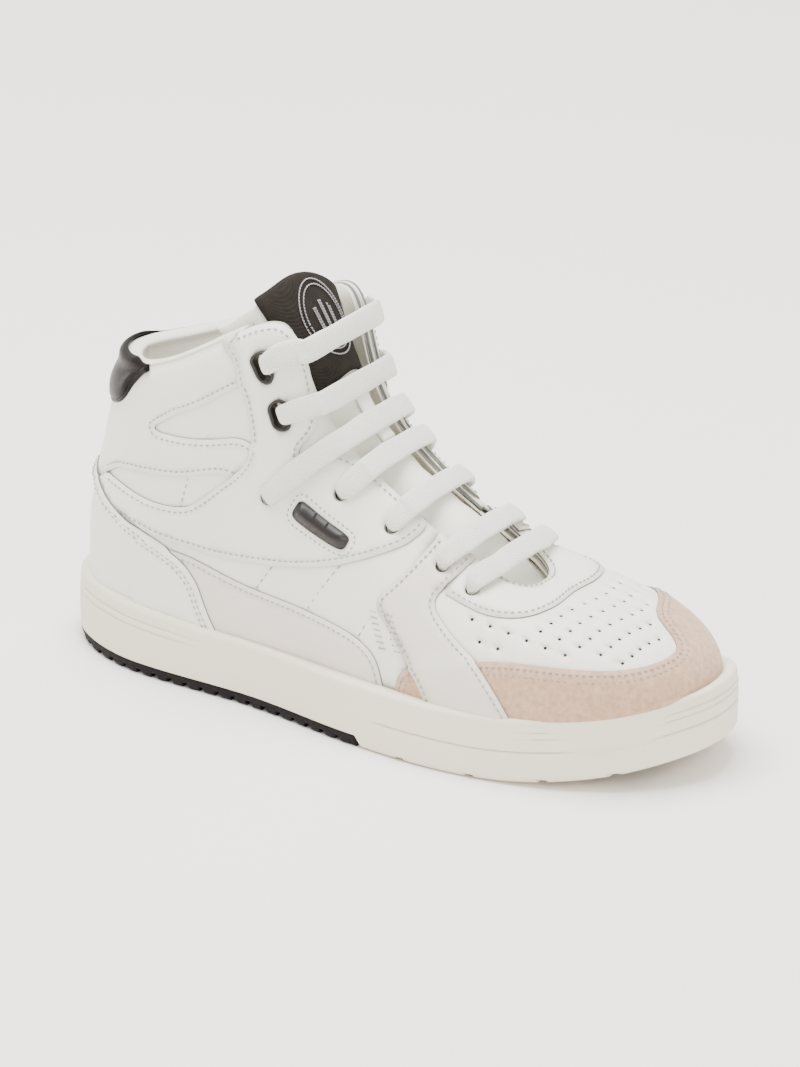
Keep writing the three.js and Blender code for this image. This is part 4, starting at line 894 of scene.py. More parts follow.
COLLAR_RUNS = [
    [(10.82, 1.0), (10.7, 0.95), (10.5, 0.865), (10.34, 0.782)],
    [(10.34, 0.782), (10.7, 0.772), (11.04, 0.762), (11.5, 0.757), (11.74, 0.738)],
    [(11.74, 0.738), (11.86, 0.727), (11.88, 0.712), (11.72, 0.692)],
    [(11.72, 0.692), (11.18, 0.648), (10.83, 0.622), (10.48, 0.603), (10.1, 0.6), (9.52, 0.607)],
    [(9.52, 0.607), (9.42, 0.58), (9.43, 0.537), (9.6, 0.498)],
    [(9.6, 0.498), (10.2, 0.489), (10.76, 0.492), (11.5, 0.519), (12.1, 0.535),
     (12.45, 0.533), (12.74, 0.500)],
    [(12.74, 0.500), (12.95, 0.465), (13.2, 0.425), (13.6, 0.4), (14.0, 0.392)],
]
ANKLE_RUNS = [
    SWOOP, SWOOP_NOSE, LOW_THROAT, FLAP_FRONT, TOP_RIM, EYESTAY_REAR, WINDOW_FLOOR,
    [(12.74, 0.495), (13.2, 0.42)],
]


ANKLE_SEAMS = [(SWOOP, 2.4), (EYESTAY_REAR, 2.0), (WINDOW_FLOOR, 2.0), (FLAP_FRONT, 2.0),
               (LOW_THROAT, 2.2), (TOP_RIM, 2.2)]


def half_and_mirror(half, fold):
    return np.vstack([np.array(half), np.array(fold(half))[1:]])


TOE_CAP_LINE = np.array(TOE_CAP_INNER + TOE_CAP_HALF)
CRESCENT_LINE = half_and_mirror(mirror(CRESCENT_HALF), mirror)
COUNTER_LINE = half_and_mirror([(8.9, FOOT_EDGE)] + COUNTER_HALF, around_heel)
TOE_CAP = Panel(ring_of(TOE_CAP_LINE, [(5.25, FOOT_EDGE), (-5.25, FOOT_EDGE)]), 1.4)
CRESCENT = Panel(ring_of(CRESCENT_LINE, [(4.4, 0.64), (4.45, 1.0)], [(4.45, 1.0), (-4.45, 1.0)],
                         [(-4.45, 1.0), (-4.4, 0.64)]))
SEAMS = Thread()


def build_overlays():
    """Every panel sewn over the base, each with its stitching; returns those that others lie on."""
    collar_ring = ring_of(*mirrored_runs(COLLAR_RUNS, around_heel), [(17.28, 1.0), (10.72, 1.0)])
    collar = overlay("collar_panel_leather", collar_ring, nodes=["collar_panel"])
    for run in COLLAR_RUNS[1:4] + COLLAR_RUNS[5:6]:
        SEAMS.inside(run, collar, 2.2)
        SEAMS.inside(around_heel(run), collar, 2.2)
    thing = TOE_CAP.build("toe_cap_suede", [SUEDE, EDGE_AND_PAINTED_SHADE])
    declare(thing, "shoe", ["toe_cap"])
    for inset in (2.0, 4.6):
        SEAMS.inside(TOE_CAP_LINE, TOE_CAP, inset)
    CRESCENT.holes = [lace_hole(6, side) for side in (1, -1)]
    thing = CRESCENT.build("throat_crescent_leather", [WHITE, EDGE_AND_PAINTED_SHADE])
    declare(thing, "shoe", ["throat_crescent"])
    SEAMS.inside(CRESCENT_LINE, CRESCENT, 2.0)
    SEAMS.inside([(3.1, 1.0), (0.0, 1.0), (-3.1, 1.0)], CRESCENT, 2.2)
    ankles = {}
    for side, word in SIDES:
        ring = flipped_ring(ring_of(*ANKLE_RUNS), side)
        near = Panel(collar_ring if side > 0 else collar_ring - WHOLE_TURN)
        ankles[side] = overlay(f"ankle_overlay_{word}_leather", ring, over=[near],
                               holes=[lace_hole(row, side) for row in range(5)],
                               nodes=[f"ankle_overlay_{word}"])
        for run, inset in ANKLE_SEAMS:
            SEAMS.inside(side_flip(run, side), ankles[side], inset)
        foxing = overlay(f"foxing_{word}_leather", foxing_ring(side), look=CREAM_LEATHER,
                         slot_name="offwhite_leather", nodes=[f"foxing_{word}"])
        SEAMS.inside(side_flip(FOXING_TOP, side), foxing, 2.0)
        build_stripe(side, word)
    return ankles, collar


def foxing_ring(side):
    """Outline of the low cream panel on one side."""
    return flipped_ring(ring_of(FOXING_TOP, [(5.38, FOOT_EDGE), (11.1, FOOT_EDGE)],
                                [(11.1, FOOT_EDGE), (11.3, 0.262)]), side)


def build_stripe(side, word):
    """Cream stripe over the ball of the foot, with bar tacks at its rear bend."""
    ring = flipped_ring(ring_of(STRIPE_REAR, [(4.62, FOOT_EDGE), (3.3, FOOT_EDGE)], STRIPE_FRONT,
                                [(3.98, 1.0), (4.95, 1.0)]), side)
    stripe = overlay(f"forefoot_stripe_{word}_leather", ring, over=[TOE_CAP, CRESCENT],
                     look=CREAM_LEATHER, slot_name="offwhite_leather",
                     nodes=[f"forefoot_stripe_{word}"], holes=[lace_hole(5, side)])
    for run in (STRIPE_REAR, STRIPE_FRONT):
        SEAMS.inside(side_flip(run, side), stripe, 2.0)
    for k in range(7):
        u, t = 5.66 - 0.045 * k, 0.36 - 0.027 * k
        SEAMS.along(np.array([(side * (u + 0.17), t - 0.006), (side * (u + 0.03), t)]), height=0.15,
                    pitch=1.0, length=1.0)
        SEAMS.along(np.array([(side * (u - 0.14), t + 0.012), (side * (u - 0.34), t + 0.022)]),
                    stripe, pitch=1.8, length=0.9)


def build_counter(ankles, collar):
    """Leather round the heel, over the ends of every panel that reaches it."""
    ring = ring_of(COUNTER_LINE, [(19.1, FOOT_EDGE), (8.9, FOOT_EDGE)])
    under = [ankles[1], Panel(ankles[-1].ring + WHOLE_TURN), collar,
             Panel(foxing_ring(1)), Panel(foxing_ring(-1) + WHOLE_TURN)]
    counter = overlay("heel_counter_leather", ring, over=under, nodes=["heel_counter"],
                      grooves=(1.6, 3.6))
    for inset in (2.6, 4.6):
        SEAMS.inside(COUNTER_LINE, counter, inset)


def build_badge(ankle):
    """Glossy domed plate with a sunken border, sewn round."""
    ring = rounded_plate(*BADGE_HALF_SIZE)
    core = rounded_plate(2.7, 12.3)
    core_line = surface(core[:, 0], core[:, 1])

    def dome(places):
        near = distance_to(surface(places[:, 0], places[:, 1]), core_line)
        return np.where(inside_of(places, left_turning(core)), 0.6 * smooth(near / 1.1), 0.0)

    badge = Panel(ring, 1.9, over=[ankle], grooves=(), puff=dome)
    thing = badge.build("side_badge_plate", [BLACK_METAL, BLACK_METAL], 0.6)
    declare(thing, "shoe", ["side_badge"])
    border = rounded_plate(6.3, 15.9)
    SEAMS.along(np.vstack([border, border[:1]]), ankle, pitch=2.4, length=1.4)


def rounded_plate(wide, long, count=72):
    """A closed rounded rectangle on the surface, centred on the badge."""
    angle = (np.arange(count) + 0.5) / count * 2 * math.pi
    reach = long * np.sign(np.cos(angle)) * np.abs(np.cos(angle)) ** 0.3
    side = wide * np.sign(np.sin(angle)) * np.abs(np.sin(angle)) ** 0.45
    return resampled(laid_on_surface(*BADGE_PLACE, BADGE_DIRECTION, reach, side), 0.9, closed=True)


# ---------------------------------------------------------------- collar lining and heel tab
COLLAR_FROM = 10.62
COLLAR_TO = 17.38


def collar_section(u):
    """Closed section of the padded lining, from the outer top line over the rim and down inside."""
    swollen = 0.35 + 0.65 * float(smooth(min(u - 10.6, 17.4 - u) / 0.5))
    top = surface(u, 1.0)
    normal = tangents(np.array(u), np.array(1.0))[2]
    flat = unit(normal * np.array([1, 1, 0]))
    angle = math.pi * (0.02 + 0.96 * np.linspace(0, 1, 7))
    reach = (2.8 + 1.5 * swollen) * np.cos(angle) - 2.9
    rise = (1.2 + 0.9 * swollen) * np.sin(angle) - 0.6
    rim = top + flat * reach[:, None] + np.array([0, 0, 1]) * rise[:, None]
    t = np.linspace(0.985, 0.47, 22)
    at = np.full(22, u)
    channel = 0.55 * np.exp(-((t - 0.79) / 0.012) ** 2)
    seam = 1.5 * math.exp(-((u - HALF_LOOP) / 0.05) ** 2)
    inside = lifted(at, t, -(4.7 + swollen * (padding(at, t) * 0.9 + 0.6) - seam - channel))
    return np.vstack([rim, inside, lifted(at, t[::-1], -3.1)])


def build_collar_lining():
    """Padded ring round the ankle, inflated as cloth between its held lines."""
    us = np.unique(np.concatenate([np.linspace(COLLAR_FROM, COLLAR_TO, 111), HALF_LOOP
                                   + np.array([-0.09, -0.05, -0.02, 0, 0.02, 0.05, 0.09])]))
    sections = np.array([collar_section(u) for u in us])
    points, faces = swept(sections)
    thing = make_object("collar_lining_pad", points, faces, [LINING])
    rows = sections.shape[1]
    place = np.arange(len(points))
    station = place // rows
    held = ((place % rows >= 27) | (np.abs(station - (len(us) - 1) / 2) < 1.5)
            | (station < 2) | (station > len(us) - 3))
    settle(thing, np.nonzero(held)[0], cap=1.6)
    smooth_once(thing)
    declare(thing, "shoe", ["collar_lining"])


def build_heel_lining():
    """Thin lining below the padded collar."""
    panel = Panel(rectangle(COLLAR_FROM, COLLAR_TO, FOOT_EDGE, 0.49), 1.1, base=-4.2, grooves=())
    thing = panel.build("heel_lining_cloth", [LINING], 5)
    declare(thing, "shoe", ["heel_lining"])


def smooth_once(thing):
    modifier = thing.modifiers.new("smooth", "SUBSURF")
    modifier.levels = 1
    modifier.render_levels = 1


SETTLE_FRAMES = 16


def settle(thing, held, cap, pressure=4.0):
    """Inflates a padded piece as cloth; the held points stay and none moves past the cap."""
    start = np.array([v.co for v in thing.data.vertices])
    scene = bpy.context.scene
    group = thing.vertex_groups.new(name="held")
    group.add([int(k) for k in held], 1.0, "REPLACE")
    modifier = thing.modifiers.new("inflate", "CLOTH")
    modifier.settings.quality = 6
    modifier.settings.mass = 0.3
    modifier.settings.use_pressure = True
    modifier.settings.uniform_pressure_force = pressure
    modifier.settings.vertex_group_mass = "held"
    modifier.settings.tension_stiffness = 25
    modifier.settings.compression_stiffness = 25
    modifier.settings.shear_stiffness = 12
    modifier.settings.bending_stiffness = 6
    modifier.settings.effector_weights.gravity = 0
    modifier.collision_settings.use_collision = False
    modifier.point_cache.frame_start = 1
    modifier.point_cache.frame_end = SETTLE_FRAMES
    for number in range(1, SETTLE_FRAMES + 1):
        scene.frame_set(number)
    settled = thing.evaluated_get(bpy.context.evaluated_depsgraph_get())
    moved = np.array([v.co for v in settled.data.vertices])
    thing.modifiers.remove(modifier)
    thing.vertex_groups.remove(group)
    scene.frame_set(1)
    step = moved - start
    length = np.linalg.norm(step, axis=1, keepdims=True)
    step *= np.minimum(1, cap * MM / (length + 1e-12))
    thing.data.vertices.foreach_set("co", (start + step).ravel())
    thing.data.update()


TAB_FROM = 12.28
TAB_TO = 15.3
TAB_OVER_RIM_TO = 14.75         # past here the tab stays on the outside of the rim


def heel_tab_section(u, low):
    """Section of the tab at one station: up the outside, over the rim and back underneath."""
    flat = unit(tangents(np.array(u), np.array(1.0))[2] * np.array([1, 1, 0]))
    open_up = float(smooth(min((u - TAB_FROM) / 0.5, (TAB_OVER_RIM_TO - u) / 0.6)))
    f = np.linspace(0, 1, 10)
    t = low + (0.985 - low) * f
    at = np.full(10, u)
    full = float(smooth(min(u - TAB_FROM, TAB_TO - u) / 0.5))
    bulge = 0.5 + 2.2 * full * np.sin(math.pi * np.minimum(0.12 + f, 1))
    angle = math.pi * (0.03 + (0.2 + 0.3 * open_up) * np.linspace(0, 1, 9))[:, None]
    reach = (3.1 + 0.6 * open_up) * np.cos(angle)
    rise = (0.5 + 2.7 * open_up) * np.sin(angle) * np.array([0, 0, 1])
    top = surface(u, 1.0) - flat
    over = np.vstack([lifted(at, t, 2.2 + bulge), top + flat * reach + rise])
    under = np.vstack([lifted(at, t, 0.9), top + flat * reach * 0.7 + rise * 0.6])
    return np.vstack([over, under[::-1]])


def build_heel_tab():
    """A glossy tab over the back of the collar, with a piped lower edge."""
    low_line = catmull(np.vstack([HEEL_TAB_HALF, around_heel(HEEL_TAB_INNER)]), 8)
    sections = [heel_tab_section(u, low) for u, low in low_line]
    points, faces = swept(sections)
    thing = make_object("heel_tab_patent", points, faces, [PATENT])
    smooth_once(thing)
    declare(thing, "shoe", ["heel_tab"])
    pipe = lifted(low_line[:, 0], low_line[:, 1], 2.0)
    bead = tube("heel_tab_piping", pipe, 1.25, PATENT, 10)
    declare(bead, "shoe")


def tube(name, path, radius, material, sides=10):
    """A round cord along a path, in the frame carried from point to point."""
    forward = unit(np.gradient(path, axis=0))
    up = np.array([0.3, 0.2, 0.9])
    sections = []
    for place, ahead in zip(path, forward):
        up = unit(up - ahead * np.dot(up, ahead))
        side = np.cross(ahead, up)
        angles = np.arange(sides) / sides * 2 * math.pi
        sections.append([place + radius * (up * math.cos(a) + side * math.sin(a)) for a in angles])
    points, faces = swept(sections)
    return make_object(name, points, faces, [material])


# ---------------------------------------------------------------- throat geometry
def throat_frames(u):
    """Centre of the throat, its direction, its upward normal and its half width."""
    edge = row_point(3, u)
    step = row_point(3, u + 0.05) - row_point(3, u - 0.05)
    along = unit(step * np.array([1, 0, 1]))
    up = np.stack([along[..., 2], 0 * along[..., 0], -along[..., 0]], -1)
    up = np.where(up[..., 2:] > 0, up, -up)
    return edge * np.array([1, 0, 1]), along, up, np.abs(edge[..., 1])


TONGUE_START = 0.9
TONGUE_END = 10.55
STRAIGHT_FROM = 8.3
WING_DEPTH = 10.4
TIP_MIDDLE = np.array([-45, 0, 172.0])
TIP_CORNER = np.array([-66, 24.5, 152.0])
TIP_TILT = np.array([-8, 0, 4.0])


def tongue_points(u, w):
    """Middle sheet of the tongue: u runs up the throat and w across it, from -1 to 1."""
    u, w = np.broadcast_arrays(np.asarray(u, float), np.asarray(w, float))
    lift = (np.maximum(u - STRAIGHT_FROM, 0) / (TONGUE_END - STRAIGHT_FROM))[..., None]
    low = np.minimum(u, STRAIGHT_FROM)
    held = np.maximum(low, 2.2)
    ahead = (np.maximum(2.2 - low, 0) * 8)[..., None]
    centre, along, up, _ = throat_frames(held)
    middle = centre + up * (0.2 - 9.8 * smooth((4.9 - low) / 2.5))[..., None] - along * ahead
    wing = lifted(held, np.full(held.shape, 0.84), -WING_DEPTH) - along * ahead
    wing = wing * np.where(wing[..., 1:2] < 0, [1, -1, 1], [1, 1, 1])
    middle = middle + (TIP_MIDDLE - middle) * lift
    wing = wing + (TIP_CORNER - wing) * lift
    drop = np.abs(w)[..., None] ** np.concatenate([2 + 3 * lift, 2 + 0 * lift, 2 + 0 * lift], -1)
    point = middle + (wing - middle) * drop + TIP_TILT * (lift ** 2) * w[..., None]
    point[..., 1] = -wing[..., 1] * w
    return point


def tongue_sheet(u, w, height):
    """Points a given height in front of the tongue's middle sheet."""
    along_w = tongue_points(u, w + 0.01) - tongue_points(u, w - 0.01)
    along_u = tongue_points(u + 0.01, w) - tongue_points(u - 0.01, w)
    normal = unit(np.cross(along_u, along_w))
    normal = np.where(normal[..., :1] + normal[..., 2:] < 0, -normal, normal)
    return tongue_points(u, w) + normal * np.asarray(height, float)[..., None]


def tongue_half(u, w):
    """Half thickness: full in the middle, thin at the wings, with a sewn-down border."""
    half = TONGUE_THICKNESS / 2 * (1 - 0.45 * w ** 4)
    border = 0.75 * np.exp(-((np.abs(w) - 0.86) / 0.035) ** 2)
    end = np.sqrt(np.maximum(1 - np.maximum(np.abs(w) - 0.93, 0) ** 2 / 0.0056, 0.12))
    top = np.sqrt(np.maximum(1 - np.maximum(u - (TONGUE_END - 0.12), 0) ** 2 / 0.0175, 0.15))
    return (half - border) * end * top


def build_tongue():
    us = np.r_[np.linspace(TONGUE_START, 10.2, 82), 10.28, 10.36, 10.43, 10.48, 10.52, TONGUE_END]
    across = np.r_[-1, -0.985, np.linspace(-0.96, 0.96, 37), 0.985, 1]
    u, w = np.meshgrid(us, across, indexing="ij")
    half = tongue_half(u, w)
    front = tongue_sheet(rounded_end(u, w), w, half + crease(u, w))
    back = tongue_sheet(rounded_end(u, w), w, -half)[:, ::-1]
    points, faces = swept(np.concatenate([front, back], 1))
    thing = make_object("tongue_pad", points, faces, [SOFT_WHITE])
    width = 2 * len(across)
    column = np.arange(len(points)) % width
    row = np.arange(len(points)) // width
    column = np.where(column < len(across), column, -1)
    offset = np.abs(column - (len(across) - 1) / 2)
    held = np.nonzero((column < 0) | (offset > 15) | (row < 3) | (row > len(us) - 4))[0]
    settle(thing, held, cap=1.2, pressure=3.0)
    smooth_once(thing)
    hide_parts("tongue_lower", "tongue_upper")
    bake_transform(thing)
    stitch_tongue()


def rounded_end(u, w):
    """Draws the tongue's top corners down, so that they are round."""
    back = 0.035 * smooth((np.abs(w) - 0.72) / 0.28) ** 1.5
    return u - np.maximum(u - 7.0, 0) * back


def crease(u, w):
    """Soft folds across the tongue where it bends at the ankle."""
    fold = 0.0
    for place, width, depth in ((5.3, 0.10, 0.5), (6.35, 0.12, 0.6), (8.05, 0.1, 0.5)):
        fold = fold - depth * np.exp(-((u - place - 0.18 * w * w) / width) ** 2)
    return fold * (1 - 0.5 * np.abs(w))


def stitch_tongue():
    for part, body, start, end in (("lower", "shoe", 2.0, 5.9), ("upper", "tongue_top", 7.15, 10.3)):
        thread = Thread()
        for w in (-0.86, 0.86):
            u = np.arange(start, end, 0.115)
            across = np.full(len(u), w)
            if part == "upper":
                u, across = np.r_[u[:-2], 10.36, 10.4], np.r_[across[:-2], 0.95 * w, 0.9 * w]
            stitch_line(thread, tongue_sheet(rounded_end(u, across), across, tongue_half(u, across)))
        thread.build(f"tongue_stitching_{part}", body, "white_leather")


def stitch_line(thread, places, pitch=STITCH_PITCH, length=STITCH_LENGTH):
    """Stitches along points in space, facing up and toward the toe like the tongue's front."""
    places = np.array(places)
    distance = path_length(places)
    at = np.arange(0, distance[-1], pitch)
    even = np.column_stack([np.interp(at, distance, places[:, k]) for k in range(3)])
    centres = (even[1:] + even[:-1]) / 2
    forward = unit(even[1:] - even[:-1])
    normal = np.tile(np.array([0.6, 0, 0.8]), (len(centres), 1))
    normal = unit(normal - forward * (normal * forward).sum(1)[:, None])
    thread.add(centres + normal * 0.12, forward, normal, length)


LABEL_SECTIONS = 33


def build_label():
    """Woven cover folded over the top of the tongue, with a plain embroidered device."""
    half = TONGUE_THICKNESS / 2
    side = np.linspace(-1, 1, LABEL_SECTIONS)[:, None]
    edge = smooth((1 - np.abs(side)) / 0.05) * 0.35
    w = side * np.where(side > 0, 0.72, 0.62)
    tip = tongue_points(TONGUE_END, w)
    along = unit(tip - tongue_points(TONGUE_END - 0.05, w))
    normal = tongue_sheet(TONGUE_END, w, np.ones(w.shape)) - tip
    turn = np.linspace(0.1, math.pi - 0.1, 9)
    up, down = np.linspace(8.75, 10.45, 28), np.linspace(10.45, 9.7, 8)

    def rolled(angles, across, reach, start):
        return (tip + normal * (across * np.cos(angles))[..., None]
                + along * (start + reach * np.sin(angles))[..., None])

    def spread(u):
        rounded = 0.86 - 0.24 * smooth((u - 9.5) / 0.95) ** 1.5
        return side * np.where(side > 0, 0.72, rounded)

    outer = [tongue_sheet(up, spread(up), half + 0.85 + edge + 0 * up),
             rolled(turn, half + 0.7 + edge, 1.6 + edge, 0.4),
             tongue_sheet(down, spread(down), -half - 0.85 - edge + 0 * down)]
    inner = [tongue_sheet(down[::-1], spread(down[::-1]), -half + 0.1 + 0 * edge * down),
             rolled(turn[::-1], half - 0.2 + 0 * edge, 0.5 + 0 * edge, 0.0),
             tongue_sheet(up[::-1], spread(up[::-1]), half - 0.1 + 0 * edge * up)]
    sections = np.concatenate(outer + inner, 1)
    points, faces = swept(sections, caps=False)
    count = sections.shape[1]
    faces += side_caps(count, 0, False) + side_caps(count, count * (LABEL_SECTIONS - 1), True)
    thing = make_object("tongue_label_cloth", points, facing_out(points, faces), [LABEL])
    declare(thing, "tongue_top", ["tongue_label"])
    build_motif(half)


def side_caps(count, start, turned):
    """Closes the end of a folded section by pairing its outer and inner points."""
    faces = []
    for k in range(count // 2 - 1):
        a, b, c, d = k, k + 1, count - 2 - k, count - 1 - k
        face = (start + a, start + b, start + c, start + d)
        faces.append(face if turned else face[::-1])
    return faces


def build_motif(half):
    """Raised embroidery: a double ring of thread round three short bars."""
    thread = Thread()

    def place(x, y):
        return tongue_sheet(9.78 + y / 13.5, x / 23.0, half + 1.5 + 0 * y)

    for radius, count in ((9.6, 46), (8.2, 40)):
        angles = np.arange(count + 1) / count * 2 * math.pi
        stitch_line(thread, place(radius * np.cos(angles), radius * np.sin(angles)), 1.35, 1.35)
    for x, tall in ((-3.4, 3.2), (0, 4.8), (3.4, 3.2)):
        y = np.linspace(-tall, tall, 12)
        stitch_line(thread, place(x + 0 * y, y), 1.2, 1.3)
        stitch_line(thread, place(x + 0.8 + 0 * y, y), 1.2, 1.3)
    thread.build("label_embroidery", "tongue_top", "white_leather", MOTIF)


def build_keeper():
    """Small strap sewn to the tongue that the laces pass under."""
    half = TONGUE_THICKNESS / 2
    w = np.linspace(-0.2, 0.2, 13)[:, None]
    u = np.linspace(7.15, 8.55, 25)
    outer = tongue_sheet(u, w, half + 1.5 - 0.4 * (np.abs(w) > 0.18) - 0.5 * (np.abs(u - 7.85) > 0.66))
    inner = tongue_sheet(u[::-1], w, half + 0.4 + 0 * w * u)
    points, faces = swept(np.concatenate([outer, inner], 1), caps=False)
    count = 2 * len(u)
    faces += side_caps(count, 0, False) + side_caps(count, count * (len(w) - 1), True)
    thing = make_object("lace_keeper_strap", points, facing_out(points, faces), [WHITE])
    declare(thing, "tongue_top", ["lace_keeper"])


# ---------------------------------------------------------------- lace and eyelets
LACE_INSIDE = -6.9
LACE_OVER = 3.8


def row_path(row, from_outer):
    """Path of one visible row: (point, flatness) from hole to hole."""
    u, t = LACE_ROWS[row]
    over = LACE_OVER + (1.0 if row >= 5 else 0)
    beside = (2.4, 2.4, 1.2, 0, 0, 0, 0)[row]
    top_u = ROW_TOP_U[row]

    def side(sign):
        def at(f, height):
            return lifted(np.array([sign * (u + (top_u - u) * f)]),
                          np.array([t + (1 - t) * f]), height)[0]
        start = 0.12 if row > 2 else 0.06
        return [(at(0, LACE_INSIDE + 0.8), 0.0), (at(0, -1.5), 0.0), (at(0.02, 1.2), 0.25),
                (at(start, over * 0.9 + beside * 0.5), 0.75), (at(0.4, over + beside * 0.6 + 0.3), 1.0),
                (at(0.75, over + beside * 0.25 + 0.2), 1.0), (at(1, over + 0.5), 1.0)]

    centre, _, up, half = throat_frames(np.array(top_u))
    rise = 5.0 + (0.8 if row >= 5 else 0)
    middle = [(centre + up * (rise + 0.5 * math.cos(f * math.pi / 2)) + np.array([0, f * half, 0]), 1.0)
              for f in (-0.6, -0.2, 0.2, 0.6)]
    path = side(1) + middle + side(-1)[::-1]
    return path if from_outer else path[::-1]


def inside_path(row, sign):
    u0, t0 = LACE_ROWS[row]
    u1, t1 = LACE_ROWS[row - 1]
    return [(lifted(np.array([sign * (u0 + (u1 - u0) * f)]), np.array([t0 + (t1 - t0) * f]),
                    LACE_INSIDE)[0], 0.0) for f in (0.22, 0.5, 0.78)]


def lace_end(row, sign, back):
    """A tucked end of the lace, inside and behind a hole."""
    u, t = LACE_ROWS[row]
    return lifted(np.array([sign * (u - back)]), np.array([t - 0.02]), LACE_INSIDE)[0], 0.0


def lace_path():
    """The whole route: up the throat from side to side, through every hole."""
    path = [lace_end(6, 1, 0.25)]
    from_outer = True
    for row in range(6, -1, -1):
        path += row_path(row, from_outer)
        if row > 0:
            path += inside_path(row, -1 if from_outer else 1)
        from_outer = not from_outer
    path.append(lace_end(0, -1, 0.2))
    return path


FRAME_U = np.arange(3, 10.6, 0.1)
FRAME_CENTRES, FRAME_ALONG, _, _ = throat_frames(FRAME_U)


def throat_direction(point):
    """Direction along the throat beside a point."""
    near = ((FRAME_CENTRES - point)[:, [0, 2]] ** 2).sum(1)
    return FRAME_ALONG[np.argmin(near)]


def build_lace():
    """One flat padded lace, wide where it lies over the throat and gathered in its holes."""
    path = lace_path()
    places = catmull([p for p, _ in path], 7)
    flat = np.interp(np.linspace(0, len(path) - 1, len(places)), np.arange(len(path)),
                     [f for _, f in path])
    forward = unit(np.gradient(places, axis=0))
    distance = path_length(places)
    across = np.array([1.0, 0, 0])
    sections, uvs = [], []
    sides = 18
    angles = np.arange(sides) / sides * 2 * math.pi
    for k, (place, ahead) in enumerate(zip(places, forward)):
        carried = unit(across - ahead * np.dot(across, ahead))
        wanted = throat_direction(place)
        wanted = unit(wanted - ahead * np.dot(wanted, ahead))
        wanted = -wanted if np.dot(wanted, carried) < 0 else wanted
        across = unit(carried * (1 - flat[k]) + wanted * flat[k])
        up = np.cross(ahead, across)
        ripple = 0.12 * math.sin(distance[k] / 7.3) + 0.08 * math.sin(distance[k] / 3.1)
        half = 1.75 + (LACE_HALF_WIDTH - 1.75) * flat[k] + ripple
        thick = 1.45 + (LACE_HALF_THICKNESS - 1.45) * flat[k] + 0.1 * math.sin(distance[k] / 5.1)
        power = 0.72
        cosines = np.sign(np.cos(angles)) * np.abs(np.cos(angles)) ** power
        sines = np.sign(np.sin(angles)) * np.abs(np.sin(angles)) ** power
        sections.append(place + np.outer(cosines * half, across) + np.outer(sines * thick, up))
        uvs += [(distance[k], c * half * 1.6) for c in cosines]
    points, faces = swept(sections)
    thing = make_object("lace_braid", points, faces, [LACE], uvs=np.array(uvs))
    smooth_once(thing)
    declare(thing, "shoe", ["lace"])


EYELET_PROFILE = [(-0.75, -4.2), (-1.05, -4.1), (-1.1, -2), (-1.1, 2.2), (-1.0, 2.9),
                  (-0.7, 3.25), (-0.25, 3.4), (0.15, 3.25), (0.4, 2.9), (0.45, 2.5), (0.4, 2.1),
                  (0.25, 1.4), (-0.7, 1.3), (-0.72, 0)]


def build_eyelet(row, side, word):
    """A flanged oval ring with a rolled lip."""
    u, t = LACE_ROWS[row]
    direction = (side * EYELET_DIRECTIONS[row][0], EYELET_DIRECTIONS[row][1])
    sections = []
    for grow, height in EYELET_PROFILE:
        ring = oval(side * u, t, EYELET_HALF_WIDTH + grow, EYELET_HALF_LENGTH + grow, direction, 40)
        sections.append(lifted(ring[:, 0], ring[:, 1], height))
    sections = np.array(sections).transpose(1, 0, 2)
    points, faces = swept(sections, caps=False, closed_path=True)
    thing = make_object(f"eyelet_ring_{word}_{row + 1}", points, faces, [BLACK_METAL])
    smooth_once(thing)
    declare(thing, "shoe", [f"eyelet_{word}_{row + 1}"])


# ---------------------------------------------------------------- sole
SOLE_POINTS = 260
RUBBER_TOP = 5.1               # the cup's lower face over the heel rubber
RUBBER_FRONT = 14.1
TOOTH_PITCH = 8.0


def centripetal(points, count):
    """Closed centripetal curve, as evenly stepped in its parameter as its spans."""
    total = len(points)
    result = []
    for k in range(count):
        span = k / count * total
        i, f = int(span), span - int(span)
        p0, p1, p2, p3 = (points[(i + j) % total] for j in (-1, 0, 1, 2))
        d0, d1, d2 = (max(np.linalg.norm(b - a) ** 0.5, 1e-4)
                      for a, b in ((p0, p1), (p1, p2), (p2, p3)))
        m1 = ((p1 - p0) / d0 - (p2 - p0) / (d0 + d1) + (p2 - p1) / d1) * d1
        m2 = ((p2 - p1) / d1 - (p3 - p1) / (d1 + d2) + (p3 - p2) / d2) * d1
        result.append((2 * p1 - 2 * p2 + m1 + m2) * f ** 3
                      + (-3 * p1 + 3 * p2 - 2 * m1 - m2) * f ** 2 + m1 * f + p1)
    return np.array(result)


SOLE_PLAN = centripetal(SOLE_OUTLINE, SOLE_POINTS)


def plan_outward(plan):
    step = np.roll(plan, -1, 0) - np.roll(plan, 1, 0)
    outward = unit(np.column_stack([step[:, 1], -step[:, 0]]))
    return outward if signed_area(plan) > 0 else -outward


SOLE_OUT = plan_outward(SOLE_PLAN)


def sole_ring(inset, height):
    places = SOLE_PLAN - SOLE_OUT * np.reshape(inset, (-1, 1))
    return np.column_stack([places, np.broadcast_to(height, len(places))])


def wall_height(part, x):
    low = spring_height(x)
    return low + part * (feather_height(x) + 1.4 - low)


def wall_inset(part, x):
    """How far the side wall lies inside the outline: moulded grooves and a rounded rim."""
    front = smooth((x - 18) / 12)
    ends = np.maximum(smooth((x - 84) / 14), smooth((-62 - x) / 26))
    inset = 1.1 * front * np.exp(-((part - 0.49) / 0.012) ** 2)
    inset += 0.9 * ends * np.exp(-((part - 0.80) / 0.012) ** 2)
    inset += 0.3 * ends * smooth((part - 0.80) / 0.03)
    inset += 0.7 * ends * np.exp(-((part - 0.70) / 0.011) ** 2)
    inset -= 0.35 * np.sin(math.pi * np.clip(part, 0, 1))
    return inset


